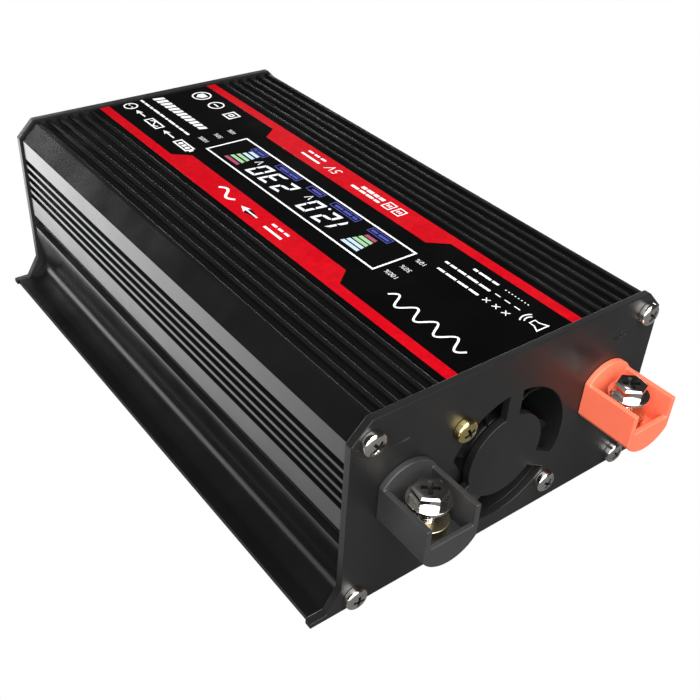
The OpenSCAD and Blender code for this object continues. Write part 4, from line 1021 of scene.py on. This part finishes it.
def segment_outlines(figure, corners, line=0.92, gap=0.13):
    """Mitred segments in a slanted box given as near-bottom, far-bottom, far-top and near-top."""
    nb, fb, ft, nt = (Vector(c) for c in corners)
    tu, tv = line / (fb - nb).length, line / (nt - nb).length
    gu, gv = gap / (fb - nb).length, gap / (nt - nb).length
    half = 0.5  # the middle of the figure, as a share of its height
    right = {
        "b": [(1, 1 - gv), (1, half + gv / 2), (1 - tu, half + (tv + gv) / 2), (1 - tu, 1 - tv - gv)],
        "c": [(1, half - gv / 2), (1, gv), (1 - tu, tv + gv), (1 - tu, half - (tv + gv) / 2)],
    }
    shapes = dict(right)
    shapes["f"] = [(1 - u, v) for u, v in right["b"]]
    shapes["e"] = [(1 - u, v) for u, v in right["c"]]
    shapes["a"] = [(gu, 1), (1 - gu, 1), (1 - tu - gu, 1 - tv), (tu + gu, 1 - tv)]
    shapes["d"] = [(u, 1 - v) for u, v in shapes["a"]]
    shapes["g"] = [(gu + tu / 3, half), (tu + gu, half + tv / 2), (1 - tu - gu, half + tv / 2),
                   (1 - gu - tu / 3, half), (1 - tu - gu, half - tv / 2), (tu + gu, half - tv / 2)]

    def at(u, v):
        return tuple(nb * (1 - u) * (1 - v) + fb * u * (1 - v) + ft * u * v + nt * (1 - u) * v)

    return [[at(u, v) for u, v in shapes[k]] for k in SEGMENTS[figure]]


# The two voltages, figure by figure: near-bottom, far-bottom, far-top and near-top corners

FIGURES = [
    ("1", [(2.70, 62.40), (2.20, 66.75), (-4.70, 68.15), (-4.30, 63.90)]),
    ("2", [(2.40, 69.10), (2.00, 73.30), (-4.90, 74.30), (-4.50, 70.20)]),
    ("0", [(2.50, 76.40), (2.15, 80.70), (-4.80, 81.50), (-4.50, 77.30)]),
    ("2", [(2.45, 88.70), (2.10, 93.00), (-4.70, 94.10), (-4.20, 90.00)]),
    ("3", [(2.60, 95.00), (2.20, 99.50), (-4.65, 100.30), (-4.20, 96.20)]),
    ("0", [(2.50, 101.30), (2.10, 105.60), (-4.90, 106.40), (-4.50, 102.00)]),
]


def level_bars(near_x, far_x, near_span, far_span, count=5, line=1.12):
    """A ladder of bars across the label, whose ends follow two slanting lines."""
    bars = []
    step = (far_x - near_x) / (count - 1)
    for i in range(count):
        x = near_x + i * step
        edges = []
        for reach in (-line / 2, line / 2):
            share = (x + reach - near_x) / (far_x - near_x)
            edges.append([a + (b - a) * share for a, b in zip(near_span, far_span)])
        (lo0, hi0), (lo1, hi1) = edges
        bars.append([(x - line / 2, lo0), (x - line / 2, hi0), (x + line / 2, hi1), (x + line / 2, lo1)])
    return bars


def display_figures():
    flat_print("window_border", border(-7.12, 44.78, 7.12, 124.02, 0.55), WHITE_INK)
    lit = [outline for figure, corners in FIGURES for outline in segment_outlines(figure, corners)]
    lit.append(circle(2.05, 74.95, 0.42, 14))
    for y0, y1 in ((82.3, 84.1), (107.1, 108.9)):
        lit.append(stroke([(0.2, y0), (2.5, (y0 + y1) / 2), (0.2, y1)], 0.36))
    flat_print("lit_digits", lit, LIT_WHITE, "display_glass")
    near = level_bars(1.9, -4.6, (54.9, 59.0), (53.8, 60.4))
    far = level_bars(-4.5, 2.8, (110.2, 116.9), (111.2, 115.4))
    for name, picks, material in (("lit_low_bars", (0,), LIT_PINK), ("lit_middle_bars", (1, 2), LIT_GREEN),
                                  ("lit_high_bars", (3, 4), LIT_PALE)):
        flat_print(name, [bars[i] for bars in (near, far) for i in picks], material, "display_glass")
    captions = []
    for index, (y0, y1) in enumerate(CAPTION_ENDS):
        captions += border(3.6, y0, 6.0, y1, 0.24)
        captions += greeked(4.8, y0 + 0.8, y1 - 0.7, 0.85, CAPTION_SEED + index)
    flat_print("lit_captions", captions, LIT_BLUE, "display_glass")

# Marks on the rocker: a bar on its on side and a ring on its off side

ROCKER_PLACE = Vector((26.0, BACK - 1.5, 16.4))
ROCKER_TILT = math.radians(9.0)
ROCKER_DISH = math.atan2(1.3, 7.8)
ROCKER_RISE = 1.7
MARK_OUT = 4.6
MARK_LIFT = 0.02
MARK_T = 0.08


def rocker_marks():
    bm = bmesh.new()
    height = ROCKER_RISE + MARK_OUT * math.tan(ROCKER_DISH) + MARK_LIFT
    for side, outlines in ((1, [rect(-0.3, -1.5, 0.3, 1.5)]), (-1, ring(0, 0, 1.5, 1.0))):
        mesh = raised(outlines, MARK_T)
        lean = Matrix.Rotation(side * ROCKER_DISH, 4, "X")
        mesh.transform(Matrix.Translation((0, side * MARK_OUT, height)) @ lean)
        bm.from_mesh(mesh)
        bpy.data.meshes.remove(mesh)
    turn = Matrix.Rotation(-ROCKER_TILT, 4, "X")
    place = Matrix.Translation(ROCKER_PLACE) @ TOWARDS_BACK @ turn
    bmesh.ops.transform(bm, matrix=Matrix.Scale(MM, 4) @ place, verts=bm.verts)
    piece = shown("rocker_marks", bm, WHITE_INK)
    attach(piece, "rocker")


# Finishes of the CAD nodes: node, finish, edge rounding, steps in the rounding

DRESSING = [
    ("top_housing", "anodised_black", 0.14, 2),
    ("bottom_housing", "anodised_black", 0.14, 2),
    ("dc_end_plate", "plate_black", 0.16, 3),
    ("ac_end_plate", "plate_black", 0.16, 3),
    ("top_label", "label_film", 0.06, 1),
    ("display_window", "display_glass", 0.06, 1),
    ("display_module", "display_stack", 0.2, 2),
    ("display_board", "circuit_board", 0.1, 1),
    ("display_ribbon", "ribbon_grey", 0.1, 1),
    ("fan_frame", "black_plastic", 0.25, 2),
    ("fan_stator", "copper_wire", 0.3, 2),
    ("fan_nuts", "nickel", 0.15, 2),
    ("fan_lead", "lead_red", 0.0, 1),
    ("negative_cup", "grey_plastic", 0.28, 3),
    ("positive_cup", "red_plastic", 0.28, 3),
    ("negative_strip", "plated_brass", 0.2, 3),
    ("positive_strip", "plated_brass", 0.2, 3),
    ("negative_washer", "nickel", 0.14, 3),
    ("positive_washer", "nickel", 0.14, 3),
    ("mains_socket", "black_plastic", 0.3, 3),
    ("socket_contacts", "bright_brass", 0.1, 2),
    ("earth_clips", "bright_brass", 0.2, 2),
    ("mains_leads", "lead_brown", 0.0, 1),
    ("usb_shells", "shell_steel", 0.07, 2),
    ("usb_tongues", "blue_plastic", 0.2, 2),
    ("usb_board", "circuit_board", 0.1, 1),
    ("usb_lead", "lead_black", 0.0, 1),
    ("switch_frame", "black_plastic", 0.3, 3),
    ("switch_rocker", "black_plastic", 0.3, 3),
    ("switch_blades", "bright_brass", 0.12, 2),
    ("switch_leads", "lead_red", 0.0, 1),
    ("status_leds", "led_lens", 0.0, 1),
    ("main_board", "circuit_board", 0.1, 1),
    ("insulation_sheet", "insulation_film", 0.0, 1),
    ("transformer_cores", "ferrite", 0.5, 2),
    ("transformer_windings", "winding_tape", 0.6, 3),
    ("input_capacitors", "capacitor_sleeve", 0.4, 3),
    ("bus_capacitor", "capacitor_sleeve", 0.5, 3),
    ("heat_sinks", "bare_aluminium", 0.15, 2),
    ("input_transistors", "chip_epoxy", 0.15, 2),
    ("output_transistors", "chip_epoxy", 0.15, 2),
    ("transistor_screws", "nickel", 0.15, 2),
    ("filter_choke", "copper_wire", 0.0, 1),
    ("fuses", "fuse_orange", 0.25, 2),
    ("fuse_holders", "black_plastic", 0.2, 2),
    ("buzzer", "black_plastic", 0.4, 3),
    ("control_chips", "chip_epoxy", 0.2, 2),
]

set_world()
lay_floor()
lay_cards()
for name, place, width, height, power in SOFT_LIGHTS:
    soft_light(name, place, width, height, power)
set_camera()
for node, finish_name, width, segments in DRESSING:
    dress(node, finish_name, width, segments)
screw_set("dc_plate_pan_screws", "dc_plate_screws", CASE_SCREW_L, CASE_SCREWS, TOWARDS_FRONT, FRONT, 11)
screw_set("ac_plate_pan_screws", "ac_plate_screws", CASE_SCREW_L, CASE_SCREWS, TOWARDS_BACK, BACK, 12)
screw_set("fan_pan_screws", "fan_screws", FAN_SCREW_L, FAN_SCREWS, TOWARDS_FRONT, FRONT, 13, tinted=(0,))
hexagon_bolt("negative_hex_bolt", "negative_bolt", "negative_bolt")
hexagon_bolt("positive_hex_bolt", "positive_bolt", "positive_bolt")
fan_wheel()
side_bands()
band_marks()
sound_chart()
rating_marks()
scale_numbers()
display_figures()
rocker_marks()
